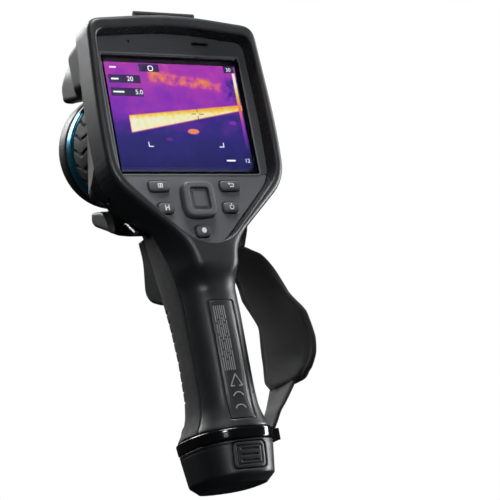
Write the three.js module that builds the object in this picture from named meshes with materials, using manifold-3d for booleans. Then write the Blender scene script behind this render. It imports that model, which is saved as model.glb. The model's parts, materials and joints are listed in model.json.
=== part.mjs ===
// Pistol-grip thermal imaging camera with a tilted display, a focus ring and a hand strap.
// Millimetres. +Z runs up the handle, +X is the user's right and the lens looks along +Y.
// The origin is the centre of the flat face under the battery cap.
import * as THREE from "three";
import { mergeVertices } from "three/addons/utils/BufferGeometryUtils.js";
import Module from "manifold-3d";

const wasm = await Module();
wasm.setup();

// ---- driving dimensions ----
const GAP = 0.35; // clearance between neighbouring pieces
const WALL = 2.6; // moulded wall thickness

const SCREEN_Z = 208.4; // height of the display's centre
const GLASS_Y = -17.4; // plane of the display glass
const RIM_Y = -27.3; // plane of the bezel's rim
const BEZEL_FRONT_Y = -8; // where the bezel meets the front shell
const GLASS_W = 88;
const GLASS_H = 72;
const LCD_W = 83.4;
const LCD_H = 62.6;

const LENS_PITCH = THREE.MathUtils.degToRad(18); // how far the lens looks up
const LENS_Y = 73.9; // centre of the front ring
const LENS_Z = 221.7;
const RING_R = 35.3;

const BODY_TOP = 57.6; // front shell, above the lens axis
const BODY_BOTTOM = -51;
const FRAME_U = -45; // face of the frame round the lens, measured along its axis
const EYE_X = -12; // visual camera in the brow
const EYE_V = BODY_TOP - 9.6;
const LASER_X = 3;

const CAP_TOP = 21.8; // battery cap
const COLLAR_TOP = 28;
const HANDLE_TOP = 158; // inside the front shell
const SEAM_Y = -11.5; // split line between the handle's rear shell and the rubber grip

const PACK_W = 23;
const PACK_D = 28;
const PACK_TOP = 116;

// ---- colours ----
const paint = (color, roughness, metalness = 0) => ({ color, roughness, metalness });
const FINISH = {
  shell: paint(0x33363a, 0.55),
  dark: paint(0x1c1d1f, 0.6),
  rubber: paint(0x202224, 0.85),
  gloss: paint(0x08090a, 0.12),
  key: paint(0x3a3d41, 0.6),
  glass: paint(0x101014, 0.08),
  screen: paint(0x4a2a88, 0.4),
  blue: paint(0x2aa7dc, 0.25, 0.7),
  germanium: paint(0x2fb7cf, 0.1, 0.3),
  metal: paint(0x9a9da0, 0.3, 1),
  board: paint(0x1f5a38, 0.6),
  battery: paint(0x2b2d30, 0.5),
  webbing: paint(0x18191a, 0.95),
  pad: paint(0x1b1c1d, 0.98),
  label: paint(0x26282b, 0.5),
};

// ---- solid helpers ----
function solid(geometry) {
  const plain = geometry.clone();
  for (const name of ["normal", "uv"]) plain.deleteAttribute(name);
  const merged = mergeVertices(plain, 1e-4);
  const vertProperties = new Float32Array(merged.attributes.position.array);
  const triVerts = new Uint32Array(merged.index.array);
  return new wasm.Manifold(new wasm.Mesh({ numProp: 3, vertProperties, triVerts }));
}

function geometryOf(body) {
  const mesh = body.getMesh();
  const geometry = new THREE.BufferGeometry();
  geometry.setAttribute("position", new THREE.BufferAttribute(new Float32Array(mesh.vertProperties), 3));
  geometry.setIndex(new THREE.BufferAttribute(new Uint32Array(mesh.triVerts), 1));
  geometry.computeVertexNormals();
  return geometry;
}

const join = (first, ...rest) => geometryOf(rest.reduce((a, b) => a.add(solid(b)), solid(first)));
const cut = (first, ...rest) => geometryOf(rest.reduce((a, b) => a.subtract(solid(b)), solid(first)));
const common = (first, ...rest) => geometryOf(rest.reduce((a, b) => a.intersect(solid(b)), solid(first)));

// ---- outlines: each corner is [x, y, length of the straight that its curve takes up] ----
function outline(corners) {
  const shape = new THREE.Shape();
  const points = corners.map(([x, y]) => new THREE.Vector2(x, y));
  points.forEach((point, i) => {
    const reach = corners[i][2] ?? 0;
    const before = points[(i + points.length - 1) % points.length];
    const after = points[(i + 1) % points.length];
    const back = Math.min(reach, 0.48 * before.distanceTo(point));
    const ahead = Math.min(reach, 0.48 * after.distanceTo(point));
    const start = point.clone().add(before.clone().sub(point).setLength(back));
    const end = point.clone().add(after.clone().sub(point).setLength(ahead));
    if (i === 0) shape.moveTo(start.x, start.y);
    else shape.lineTo(start.x, start.y);
    if (reach > 0) shape.quadraticCurveTo(point.x, point.y, end.x, end.y);
  });
  shape.closePath();
  return shape;
}

function mirrored(half) {
  const left = half
    .filter(([x]) => x > 0)
    .map(([x, y, reach]) => [-x, y, reach])
    .reverse();
  return outline([...half, ...left]);
}

function roundRect(width, height, reach, x = 0, y = 0) {
  const [w, h] = [width / 2, height / 2];
  return outline([
    [x + w, y + h, reach],
    [x - w, y + h, reach],
    [x - w, y - h, reach],
    [x + w, y - h, reach],
  ]);
}

// ---- prisms: a shape's x and y become the two other axes, right-handed and upright ----
function prismZ(shape, low, high, curveSegments = 3) {
  const settings = { depth: high - low, bevelEnabled: false, curveSegments };
  const geometry = new THREE.ExtrudeGeometry(shape, settings);
  return geometry.translate(0, 0, low);
}

function prismY(shape, low, high, curveSegments = 3) {
  return prismZ(shape, -high, -low, curveSegments).rotateX(Math.PI / 2);
}

function prismX(shape, low, high, curveSegments = 3) {
  return prismZ(shape, low, high, curveSegments).rotateZ(Math.PI / 2).rotateY(Math.PI / 2);
}

const block = (w, d, h, x, y, z) => new THREE.BoxGeometry(w, d, h).translate(x, y, z);

// A body of rounded-square sections: each station is [height, half width, half depth, centre y].
function tapered(stations, squareness = 2.6, sides = 24) {
  const rim = [];
  for (let i = 0; i < sides; i += 1) {
    const angle = (i / sides) * 2 * Math.PI;
    const [c, s] = [Math.cos(angle), Math.sin(angle)];
    const bulge = (value) => Math.sign(value) * Math.abs(value) ** (2 / squareness);
    rim.push(new THREE.Vector2(bulge(c), bulge(s)));
  }
  const steps = stations.length - 1;
  const settings = { depth: steps, steps, bevelEnabled: false };
  const geometry = new THREE.ExtrudeGeometry(new THREE.Shape(rim), settings);
  const position = geometry.attributes.position;
  for (let i = 0; i < position.count; i += 1) {
    const [height, halfWidth, halfDepth, centre] = stations[Math.round(position.getZ(i))];
    position.setXYZ(i, position.getX(i) * halfWidth, position.getY(i) * halfDepth + centre, height);
  }
  return geometry;
}

// A turned piece about local Y: the profile's corners are [radius, along], listed anticlockwise.
function turned(profile, sides = 32) {
  const points = profile.map(([radius, along]) => new THREE.Vector2(radius, along));
  if (profile[0][0] > 0) points.push(points[0].clone());
  return new THREE.LatheGeometry(points, sides);
}

const rod = (radius, low, high, sides = 28) =>
  turned([[0, low], [radius, low], [radius, high], [0, high]], sides);

const washer = (outer, inner, low, high, sides = 32) =>
  turned([[inner, low], [outer, low], [outer, high], [inner, high]], sides);

// ---- scene graph ----
const camera = new THREE.Group();
const lensGroup = new THREE.Group();
lensGroup.position.set(0, LENS_Y, LENS_Z);
lensGroup.rotation.x = LENS_PITCH;
lensGroup.updateMatrix();
camera.add(lensGroup);

function add(name, geometry, finish, parent = camera) {
  const mesh = new THREE.Mesh(geometry, new THREE.MeshStandardMaterial(FINISH[finish]));
  mesh.name = name;
  parent.add(mesh);
  return mesh;
}

const onLensAxis = (geometry) => geometry.applyMatrix4(lensGroup.matrix);

// ---- bezel: a shield-shaped frame round the display, open at both faces ----
function shield(grow) {
  const z = SCREEN_Z;
  return mirrored([
    [0, z + 58.2 + grow, 40],
    [53 + grow, z + 52.6 + grow, 7],
    [56 + grow, z - 9, 22],
    [54.6 + grow, z - 42, 11],
    [14.5 + grow, z - 78.5 - grow, 7],
    [12.5 + grow, z - 84 - grow, 2],
  ]);
}

function window(grow) {
  const z = SCREEN_Z;
  return mirrored([
    [0, z + 50.6 + grow, 36],
    [49 + grow, z + 45.6 + grow, 6],
    [50.5 + grow, z - 9, 20],
    [49.3 + grow, z - 39, 9],
    [10 + grow, z - 79 - grow, 12],
  ]);
}

function makeBezel() {
  const wall = prismY(shield(0), RIM_Y, BEZEL_FRONT_Y - GAP, 5);
  const recess = prismY(window(0), RIM_Y - 5, BEZEL_FRONT_Y + 5, 5);
  add("rear_bezel", cut(wall, recess), "shell");
}

// ---- keys: centre from the display's centre, size, and how far each stands proud ----
const KEYS = [
  { name: "gallery_button", x: -22.2, z: -43.2, w: 12.6, h: 5.9, proud: 2.2 },
  { name: "program_button", x: -20.2, z: -56, w: 9.6, h: 5.9, proud: 2.2 },
  { name: "back_button", x: 22.2, z: -43.2, w: 12.6, h: 5.9, proud: 2.2 },
  { name: "power_button", x: 20.2, z: -56, w: 9.6, h: 5.9, proud: 2.2 },
  { name: "record_button", x: 0, z: -69.4, w: 8.6, h: 6.6, proud: 2.2 },
  { name: "nav_ring", x: 0, z: -51.6, w: 19.4, h: 20.6, proud: 4.6 },
];

// ---- what fills the bezel's window ----
const PLATE_Y = GLASS_Y + 1.8; // back of the glass and of the plates round it
const BOARD_Z = SCREEN_Z - 4;
const BOARD_SCREWS = [-1, 1].flatMap((i) => [-1, 1].map((j) => [i * 33, BOARD_Z + j * 24]));
const screwHoles = () => BOARD_SCREWS.map(([x, z]) => rod(1.6, -30, 10, 10).translate(x, 0, z));

function makeDisplay() {
  const glass = roundRect(GLASS_W, GLASS_H, 2, 0, SCREEN_Z);
  add("display_glass", prismY(glass, GLASS_Y, PLATE_Y), "glass");
  const panelBack = PLATE_Y + GAP + 3.2;
  add("lcd_panel", prismY(roundRect(LCD_W, LCD_H, 1, 0, SCREEN_Z), PLATE_Y + GAP, panelBack), "screen");
  const inner = prismY(window(-GAP), GLASS_Y, PLATE_Y, 5);
  const glassRoom = block(GLASS_W + 2 * GAP, 10, GLASS_H + 2 * GAP, 0, GLASS_Y, SCREEN_Z);
  const lowerEdge = SCREEN_Z - GLASS_H / 2 - GAP;
  const below = block(140, 20, 80, 0, GLASS_Y, lowerEdge - 40);
  const above = block(140, 20, 120, 0, GLASS_Y, lowerEdge + GAP + 60);
  const micHole = rod(0.9, -4, 4, 12).translate(-25, GLASS_Y, SCREEN_Z + 43.4);
  const slot = prismY(roundRect(11, 1.9, 0.9, 20.5, SCREEN_Z + 43.6), GLASS_Y - 4, GLASS_Y + 4);
  add("display_trim", cut(common(inner, above), glassRoom, micHole, slot), "dark");
  const plate = common(inner, below);
  const keyHoles = KEYS.map((key) => keyPrism(key, GLASS_Y - 4, GLASS_Y + 8, GAP));
  add("keypad_plate", cut(plate, ...keyHoles), "key");
  const frameBack = BEZEL_FRONT_Y - GAP;
  const frameFront = panelBack + GAP;
  const frame = prismY(window(-GAP), frameFront, frameBack, 5);
  const ribbonSlot = block(30, 20, 5, 0, frameBack, SCREEN_Z - 40);
  add("display_frame", cut(frame, ribbonSlot, ...screwHoles()), "metal");
}

// ---- keys ----
function keyPrism({ x, z, w, h }, low, high, grow = 0) {
  const reach = Math.min(w, h) * 0.28;
  return prismY(roundRect(w + 2 * grow, h + 2 * grow, reach, x, SCREEN_Z + z), low, high, 3);
}

function makeKeys() {
  const back = PLATE_Y + 0.6;
  for (const key of KEYS) {
    const body = keyPrism(key, GLASS_Y - key.proud, back);
    if (key.name !== "nav_ring") {
      add(key.name, body, "key");
      continue;
    }
    const centre = { x: 0, z: key.z, w: 11.4, h: 12.6 };
    add("nav_ring", cut(body, keyPrism(centre, GLASS_Y - 9, back + 5, 0.3)), "key");
    add("nav_key", keyPrism(centre, GLASS_Y - key.proud + 0.9, back), "key");
  }
}

// ---- front shell: a wedge along the lens axis, with a brow over the lens and a chin below it ----
function bodyBox(grow, back, front) {
  const [top, bottom] = [BODY_TOP + grow, BODY_BOTTOM - grow];
  const section = mirrored([
    [0, top, 20],
    [42 + grow, top - 3.4, 14],
    [48.5 + grow, 8, 18],
    [44 + grow, -21, 10],
    [24 + grow, bottom + 6, 8],
    [20 + grow, bottom, 3],
    [0, bottom, 0],
  ]);
  const plan = mirrored([
    [26 + grow, 3, 0],
    [31 + grow, -7, 2],
    [39.8 + grow, -54, 2],
    [47 + grow, -78, 2],
    [49 + grow, -125, 0],
  ]);
  return common(prismY(section, back, front, 5), prismZ(plan, -80, 80));
}

const bodyPart = (grow, back, front) => onLensAxis(bodyBox(grow, back, front));

// The roof joins the bezel's top to the brow, and carries the connector bay.
function roof(grow) {
  const side = outline([
    [-16, 262 + grow, 0],
    [4, 270.6 + grow, 8],
    [28, 274.6 + grow, 10],
    [44 + grow, 273.6 + grow, 6],
    [40 + grow, 246, 0],
    [-16, 230, 0],
  ]);
  const front = mirrored([
    [0, 277 + grow, 20],
    [36 + grow, 274.4 + grow, 12],
    [44.5 + grow, 252, 12],
    [44.5 + grow, 225, 0],
  ]);
  const plan = mirrored([
    [33.4 + grow, 50, 0],
    [39.4 + grow, 10, 2],
    [44.5 + grow, -10, 2],
    [44.5 + grow, -20, 0],
  ]);
  return common(prismX(side, -60, 60), prismY(front, -20, 60), prismZ(plan, 200, 300));
}

// The brow and the body behind it, in side view; the notch for the lens is open ahead and to both sides.
function browPart() {
  const side = outline([
    [FRAME_U - 14, BODY_TOP + 2, 0],
    [-8, BODY_TOP + 1, 8],
    [3.2, 38, 3],
    [0, 29, 3],
    [FRAME_U - 14, 30.5, 0],
  ]);
  return onLensAxis(common(bodyBox(0, FRAME_U - 14, 6), prismX(side, -60, 60)));
}

function chinPart() {
  const side = outline([
    [FRAME_U - 8, -37, 0],
    [-9, -37, 1],
    [-8, -40, 2],
    [-15, -45.5, 4],
    [FRAME_U - 8, BODY_BOTTOM, 0],
  ]);
  const plan = outline([
    [-26, FRAME_U - 8, 0],
    [26, FRAME_U - 8, 0],
    [19.5, -9, 4],
    [-19.5, -9, 4],
  ]);
  return onLensAxis(common(prismX(side, -40, 40), prismZ(plan, -60, -30)));
}

// The lens-side corner of each side wall is bevelled back to the side panel.
function cornerBevels() {
  const bevel = outline([
    [36.8, FRAME_U + 1, 0],
    [36.8, FRAME_U, 0],
    [41, FRAME_U - 10.5, 0],
    [50, FRAME_U - 10.5, 0],
    [50, FRAME_U + 1, 0],
  ]);
  const right = prismZ(bevel, -50, 29.5);
  return [right, right.clone().rotateY(Math.PI)].map(onLensAxis);
}

// All that lies behind the bezel's front face.
const behindBezel = () => block(200, 200, 400, 0, BEZEL_FRONT_Y - 100, LENS_Z);

function makeFrontShell() {
  const whole = join(bodyPart(0, -125, FRAME_U), browPart(), roof(0), chinPart());
  const rooms = [
    behindBezel(),
    tapered(handleStations(GAP, 100, HANDLE_TOP + GAP)),
    onLensAxis(rod(RING_R + 0.7, -62, -30)),
    onLensAxis(rod(RING_R + 2.6, -31, 30)),
    join(bodyPart(-WALL, -125, FRAME_U - 19), roof(-WALL)),
    onRoof(prismZ(roundRect(32, 15, 3), -1.4, 6)),
    onRoof(prismZ(roundRect(10.8, 5.2, 2, -8, 0), -9, 3)),
    onLensAxis(block(36, 12, 34, 0, -62, 0)),
    onLensAxis(prismY(browWindow(GAP), -3 - GAP, 12)),
    onLensAxis(rod(5.5, -20, 12, 24).translate(EYE_X, 0, EYE_V)),
    onLensAxis(rod(2.6, -20, 12, 16).translate(LASER_X, 0, EYE_V)),
    triggerBlock(GAP),
    ...cornerBevels(),
    ...[-1, 1].flatMap((side) => [sidePanel(side, GAP), strapSlot(side)]),
  ];
  add("front_shell", cut(whole, ...rooms), "shell");
}

// ---- window in the brow for the laser and the visual camera ----
function browWindow(grow) {
  const arch = RING_R + 7;
  return outline([
    [27.5 + grow, 50 + grow, 6],
    [-27.5 - grow, 50 + grow, 6],
    [-28 - grow, 36.5 - grow, 2],
    [-20, 39 - grow, 4],
    [0, arch + 2 - grow, 9],
    [20, 39 - grow, 4],
    [28 + grow, 36.5 - grow, 2],
  ]);
}

function makeBrow() {
  const eye = prismY(roundRect(19, 8, 4, EYE_X, EYE_V), -9, 9);
  const pinhole = rod(1.1, -9, 9, 12).translate(LASER_X, 0, EYE_V);
  add("sensor_window", cut(prismY(browWindow(0), -3, -0.6), eye, pinhole), "gloss", lensGroup);
  const lens = turned([[0, -16], [4.9, -16], [4.9, -5], [3.4, -4], [0, -3.4]], 24);
  add("visual_camera", lens.translate(EYE_X, 0, EYE_V), "glass", lensGroup);
  add("laser_module", rod(2.2, -17, -4, 16).translate(LASER_X, 0, EYE_V), "metal", lensGroup);
}

// ---- dark panels let into the sides of the front shell ----
const PANEL_DEPTH = 1.6;

function sidePanel(side, grow) {
  const shape = outline([
    [-56.5 + grow, 34.5 + grow, 4],
    [-79 - grow, 34.5 + grow, 2],
    [-79 - grow, -27 - grow, 2],
    [-62, -34 - grow, 5],
    [-56.5 + grow, -24 - grow, 5],
  ]);
  const across = side > 0 ? prismX(shape, 30, 60) : prismX(shape, -60, -30);
  return onLensAxis(cut(across, bodyBox(-PANEL_DEPTH - grow, -125, FRAME_U)));
}

function makeSidePanels() {
  const bodySkin = bodyPart(0.3, -125, FRAME_U);
  add("side_panel_left", cut(common(sidePanel(-1, 0), bodySkin), behindBezel()), "dark");
  add("side_panel_right", cut(common(sidePanel(1, 0), bodySkin), behindBezel()), "dark");
}

// ---- lens stack, turned about the lens axis ----
const FOCUS_BACK = -45.4;
const FOCUS_FRONT = -20.2;

function ribbedRing() {
  const body = turned([
    [RING_R - 4.4, FOCUS_BACK],
    [RING_R - 1.4, FOCUS_BACK],
    [RING_R - 0.6, FOCUS_FRONT - 12],
    [RING_R - 0.6, FOCUS_FRONT],
    [RING_R - 4.4, FOCUS_FRONT],
  ], 36);
  const grooves = [];
  const count = 18;
  for (let i = 0; i < count; i += 1) {
    grooves.push(block(1.8, 13, 3, 0, -28, RING_R).rotateY((i / count) * 2 * Math.PI));
  }
  return cut(body, ...grooves);
}

const LAMPS = [
  { name: "lamp_left", x: -11.3, z: -21.2, r: 3.6 },
  { name: "range_window", x: 0, z: -24, r: 3.8 },
  { name: "lamp_right", x: 11.3, z: -21.2, r: 3.6 },
];

function makeLens() {
  add("lens_mount", washer(RING_R - 5, 17, -54, -20.8), "dark", lensGroup);
  add("focus_ring", ribbedRing(), "rubber", lensGroup);
  const blue = turned([
    [RING_R - 6, -19.8],
    [RING_R - 0.8, -19.8],
    [RING_R, -15],
    [RING_R - 0.8, -10.4],
    [RING_R - 6, -10.4],
  ]);
  add("blue_ring", blue, "blue", lensGroup);
  const front = turned([
    [RING_R - 6, -10],
    [RING_R - 0.6, -10],
    [RING_R, -3],
    [RING_R - 0.6, 0.6],
    [RING_R - 2.6, 3],
    [RING_R - 5, 3],
    [RING_R - 6, 0],
  ]);
  add("front_ring", front, "dark", lensGroup);
  const plate = rod(RING_R - 6.4, -3.4, -0.6);
  const chord = block(80, 20, 20, 0, 0, 24 + 10);
  const bore = rod(17.2, -9, 9);
  const lampHoles = LAMPS.map(({ x, z, r }) => rod(r + 0.25, -9, 9, 20).translate(x, 0, z));
  add("face_plate", cut(plate, chord, bore, ...lampHoles), "dark", lensGroup);
  const barrel = turned([[12, -20], [16.8, -20], [16.8, -1], [15.2, -0.2], [14, -2], [12.6, -7]], 40);
  add("lens_barrel", barrel, "metal", lensGroup);
  const dome = turned([[0, -18], [11.6, -18], [11.6, -13], [8.4, -10.8], [4.4, -9.6], [0, -9.2]], 36);
  add("lens_element", dome, "germanium", lensGroup);
  for (const { name, x, z, r } of LAMPS) {
    add(name, rod(r, -5, -0.9, 20).translate(x, 0, z), "glass", lensGroup);
  }
  add("detector_core", block(34, 14, 32, 0, -64, 0), "metal", lensGroup);
}

// ---- connector hatch on the top ----
const HATCH_PIVOT_Y = -18; // hinge line, on the bezel's top
const HATCH_PIVOT_Z = SCREEN_Z + 60.2;
const ROOF_SLOPE = Math.atan2(4, 24);

function onRoof(geometry) {
  return geometry.rotateX(ROOF_SLOPE).translate(0, 15, 272.4);
}

function makeHatch() {
  const plan = mirrored([
    [19, HATCH_PIVOT_Y + 2.4, 1],
    [20, -6, 2],
    [30, 24, 4],
    [22, 29, 5],
  ]);
  const lidSide = outline([
    [HATCH_PIVOT_Y + 2.4, 267, 0],
    [-8, 267.4, 2],
    [4, 272, 8],
    [30, 276.2, 0],
    [30, 278.8, 2],
    [4, 274.8, 8],
    [-8, 270.2, 3],
    [HATCH_PIVOT_Y + 2.4, 269, 0],
  ]);
  const lid = common(prismZ(plan, 250, 290), prismX(lidSide, -40, 40));
  add("hatch_cover", lid, "shell");
  const knuckle = new THREE.CylinderGeometry(1.7, 1.7, 38, 16).rotateZ(Math.PI / 2);
  add("hatch_hinge", knuckle.translate(0, HATCH_PIVOT_Y, HATCH_PIVOT_Z + 0.1), "rubber");
  const usb = onRoof(cut(
    prismZ(roundRect(10, 4.4, 1.8, -8, 0), -8, -1.6),
    prismZ(roundRect(8.4, 2.8, 1.2, -8, 0), -6.6, 3),
  ));
  add("usb_port", usb, "metal");
}

// ---- boards and sound ----
function makeInside() {
  const boardY = BEZEL_FRONT_Y + GAP + 1.2;
  add("main_board", cut(block(74, 1.6, 56, 0, boardY, BOARD_Z), ...screwHoles()), "board");
  BOARD_SCREWS.forEach(([x, z], i) => {
    const head = boardY + 0.8 + GAP;
    const tip = head - 5;
    const top = head + 1.4;
    const screw = turned([[0, tip], [1.25, tip], [1.25, head], [2.4, head], [2.4, top], [0, top]], 10);
    add(`board_screw_${i + 1}`, screw.translate(x, 0, z), "metal");
  });
  const speaker = new THREE.CylinderGeometry(5.4, 5.4, 2.6, 24).translate(20.5, 0, SCREEN_Z + 42);
  add("speaker", speaker.translate(0, PLATE_Y + GAP + 1.4, 0), "metal");
  const microphone = new THREE.CylinderGeometry(2.2, 2.2, 2.2, 16);
  add("microphone", microphone.translate(-25, PLATE_Y + GAP + 1.4, SCREEN_Z + 43.4), "metal");
}

// ---- handle ----
function handleStations(grow, low = COLLAR_TOP + GAP, high = HANDLE_TOP) {
  const spine = [
    [28, 24.2, 26.3, 0],
    [33, 20.8, 23.8, -1],
    [40, 18.1, 21.6, -2.2],
    [50, 17.1, 20.7, -3.2],
    [72, 17, 20.6, -3.5],
    [91, 17.5, 21.1, -2.6],
    [110, 18.1, 21.9, -0.4],
    [133, 19, 23.2, 2.6],
    [158, 20.4, 25, 6.6],
    [175, 21, 26, 9],
  ];
  const at = (height) => {
    const next = Math.max(1, spine.findIndex(([z]) => z >= height));
    const [a, b] = [spine[next - 1], spine[next]];
    const share = (height - a[0]) / (b[0] - a[0]);
    return a.map((value, i) => value + (b[i] - value) * share);
  };
  const heights = [low, ...spine.map(([z]) => z).filter((z) => z > low + 1 && z < high - 1), high];
  return heights.map(at).map(([z, w, d, y]) => [z, w + grow, d + grow, y]);
}

const packRoom = () => prismZ(roundRect(PACK_W + 2 * GAP, PACK_D + 2 * GAP, 7, 0, -2.4), -5, PACK_TOP + 1);

function makeHandle() {
  const whole = tapered(handleStations(0, COLLAR_TOP + GAP, HANDLE_TOP));
  const bay = prismZ(roundRect(PACK_W + 2, PACK_D + 2, 7, 0, -2.4), -5, PACK_TOP + 8);
  const ahead = block(80, 80, 200, 0, SEAM_Y + 40, 80);
  const behind = block(80, 80, 200, 0, SEAM_Y - 40 + GAP, 80);
  const labelRoom = cut(block(15.1, 20, 65.8, 0, -20, 65.5), tapered(handleStations(-1.2, 20, 120)));
  const bezelRoom = prismY(shield(GAP), RIM_Y - 20, BEZEL_FRONT_Y + 30, 5);
  const contactRoom = block(20, 22, 12, 0, -2.4, PACK_TOP + 5);
  add("handle_rear_shell", cut(whole, ahead, bay, labelRoom, bezelRoom, contactRoom), "shell");

  const ribs = [];
  const pitch = 10.6;
  for (let i = 0; i < 6; i += 1) {
    ribs.push(new THREE.TorusGeometry(21.5, 1, 5, 20).translate(0, -2.4, 45 + i * pitch));
  }
  const bezelFoot = prismY(shield(GAP), RIM_Y - 20, BEZEL_FRONT_Y, 5);
  const slots = [-1, 1].map((side) => strapSlot(side));
  const grip = cut(whole, behind, bay, bezelFoot, triggerBlock(GAP), ...slots, ...ribs);
  add("front_grip", grip, "rubber");
  const label = common(block(14.4, 20, 65, 0, -20, 65.5), tapered(handleStations(0.15, 20, 120)));
  add("label_plate", cut(label, tapered(handleStations(-0.85, 20, 120))), "label");
  add("battery_contacts", block(16, 12, 3.2, 0, -2.4, PACK_TOP + 5.4), "metal");
}

// ---- trigger under the chin ----
function triggerBlock(grow) {
  const side = outline([
    [12 - grow, 152.4 + grow, 0],
    [41 + grow, 152.4 + grow, 1],
    [39 + grow, 140, 4],
    [43 + grow, 122, 3],
    [39 + grow, 115.6 - grow, 3],
    [28, 110.6 - grow, 3],
    [12 - grow, 106 - grow, 0],
  ]);
  return prismX(side, -10.4 - grow, 10.4 + grow);
}

function makeTrigger() {
  const keyRoom = block(12.8, 14, 17.2, 0, 41, 142.3);
  const pullRoom = block(12.8, 20, 15.6, 0, 41.5, 125.6);
  const bay = block(12.8, 20, 40, 0, 22, 130);
  const handleFront = common(tapered(handleStations(0)), block(80, 80, 400, 0, SEAM_Y - 41 + 46, 150));
  add("trigger_frame", cut(triggerBlock(0), keyRoom, pullRoom, bay, handleFront), "shell");
  const key = block(12, 4.4, 16, 0, 38.6, 142.2);
  add("trigger_key", key, "gloss");
  const side = outline([[37, 133, 0.5], [43, 132.8, 1.2], [46, 124, 3], [44.4, 118.2, 1], [37, 118.2, 0.5]]);
  add("trigger_pull", prismX(side, -6, 6), "shell");
}

// ---- collar and battery ----
function makeBattery() {
  const collar = cut(tapered([[CAP_TOP + GAP, 23.6, 26, 0], [COLLAR_TOP, 24.2, 26.5, 0]]), packRoom());
  add("collar_ring", collar, "gloss");
  const toe = outline([[24, 23.4, 1], [33, 23.4, 2], [33.5, 31, 3], [26, 40, 3], [20, 41, 0], [20, 29, 0]]);
  const toeBody = cut(
    prismX(toe, -11, 11),
    tapered([[CAP_TOP - 5, 23.3 + GAP, 25.7 + GAP, 0], [COLLAR_TOP + GAP, 24.4 + GAP, 26.7 + GAP, 0]]),
    tapered(handleStations(GAP)),
  );
  add("grip_toe", toeBody, "gloss");
  const cap = tapered([[0, 16.8, 19, 0], [4.2, 21.2, 23.5, 0], [CAP_TOP, 23.3, 25.7, 0]]);
  const latchRooms = [-1, 1].map((side) => latch(side, GAP));
  const hollow = prismZ(roundRect(PACK_W + 2 * GAP, PACK_D - 6, 7, 0, -1), CAP_TOP - 4, CAP_TOP + 5);
  add("battery_cap", cut(cap, ...latchRooms, hollow), "shell");
  const pack = prismZ(roundRect(PACK_W, PACK_D, 7, 0, -2.4), CAP_TOP + GAP, PACK_TOP);
  add("battery_pack", pack, "battery");
  add("battery_latch_rear", latch(-1, 0), "shell");
  add("battery_latch_front", latch(1, 0), "shell");
}

// A grow above zero gives the pocket that the latch is pressed into.
function latch(side, grow) {
  const pad = prismY(roundRect(19.4 + 2 * grow, 14 + 2 * grow, 2.5, 0, 13.4), 0, 40);
  const skin = tapered([[0, 20.6, 22.6, 0], [CAP_TOP, 23.2, 25.6, 0]]);
  const pocket = common(pad, block(40, 13, 40, 0, 24, 14));
  const piece = common(pad, skin, block(40, 6.4, 40, 0, 22.6, 14));
  const body = grow > 0 ? pocket : piece;
  return side > 0 ? body : body.rotateZ(Math.PI);
}

// ---- hand strap on the user's right ----
const BAR_TILT = THREE.MathUtils.degToRad(43);
const BAR_Y = 20.6;
const BAR_Z = 154.6;

function strapSlot(side) {
  return block(9, 15, 4.6, 0, 0, 0).rotateX(BAR_TILT).translate(side * 22, BAR_Y, BAR_Z);
}

// The pad in front view bows away from the handle: [x, z] along its middle.
const PAD_LINE = [[38, 141], [45.5, 120], [48, 95], [46.5, 70], [40, 50]];

function band(points, thickness) {
  const curve = new THREE.CatmullRomCurve3(points.map(([x, z]) => new THREE.Vector3(x, z, 0)));
  const steps = 2 * points.length;
  const side = (sign) => Array.from({ length: steps + 1 }, (_, i) => {
    const at = curve.getPointAt(i / steps);
    const along = curve.getTangentAt(i / steps);
    const reach = (sign * thickness) / 2;
    return new THREE.Vector2(at.x + along.y * reach, at.y - along.x * reach);
  });
  return new THREE.Shape([...side(1), ...side(-1).reverse()]);
}

function makeStrap() {
  const padPlan = outline([
    [8, 141, 6],
    [30, 139, 8],
    [32, 112, 20],
    [24, 68, 14],
    [13, 46, 8],
    [-12, 44, 9],
    [-33, 57, 12],
    [-36, 74, 12],
    [-18, 104, 20],
    [0, 130, 12],
  ]);
  const padBand = prismY(band(PAD_LINE, 8), -60, 60);
  const trim = block(80, 120, 91, 45, 0, 94.5);
  add("strap_pad", common(prismX(padPlan, 25, 58), padBand, trim), "pad");
  const upper = prismY(band([[30.6, 154], [33.6, 149.4], [37.4, 143.6]], 2.6), 10, 30);
  add("strap_upper_webbing", upper, "webbing");
  const lowerPlan = outline([[-14, 60, 0], [12, 60, 0], [8, 23, 0], [-8, 23, 0]]);
  const lowerBand = prismY(band([[37.6, 47.2], [32.6, 38.4], [29.8, 30.4]], 2.6), -60, 60);
  const lower = common(prismX(lowerPlan, 20, 60), lowerBand);
  add("strap_lower_webbing", lower, "webbing");
  for (const side of [-1, 1]) {
    const bar = new THREE.CylinderGeometry(1.5, 1.5, 14, 14).rotateX(BAR_TILT);
    add(side > 0 ? "strap_bar_right" : "strap_bar_left", bar.translate(side * 23, BAR_Y, BAR_Z), "metal");
  }
  const lug = cut(
    prismZ(roundRect(5.4, 17, 1.2, 27.6, 0), 22.4, 28.6),
    block(2.2, 12.4, 20, 27.8, 0, 25),
    tapered([[20, 24.6, 26.9, 0], [30, 24.8, 27.1, 0]]),
  );
  add("strap_lower_lug", lug, "gloss");
  const buckle = cut(block(6.4, 24, 6, 0, 0, 0), block(4.2, 20.8, 12, 0, 0, 0));
  add("strap_buckle", buckle.rotateY(THREE.MathUtils.degToRad(-32)).translate(33.7, 20, 149.2), "metal");
}

makeBezel();
makeDisplay();
makeKeys();
makeFrontShell();
makeBrow();
makeSidePanels();
makeLens();
makeHatch();
makeInside();
makeHandle();
makeTrigger();
makeBattery();
makeStrap();

export default camera;
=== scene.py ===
# Looks of the pistol-grip thermal imaging camera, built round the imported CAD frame.
# Shapes are worked out in millimetres of the row frame and become metres when a mesh is made.
import json
import math

import bmesh
import bpy
import numpy as np
import openvdb
from mathutils import Matrix, Vector


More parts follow.
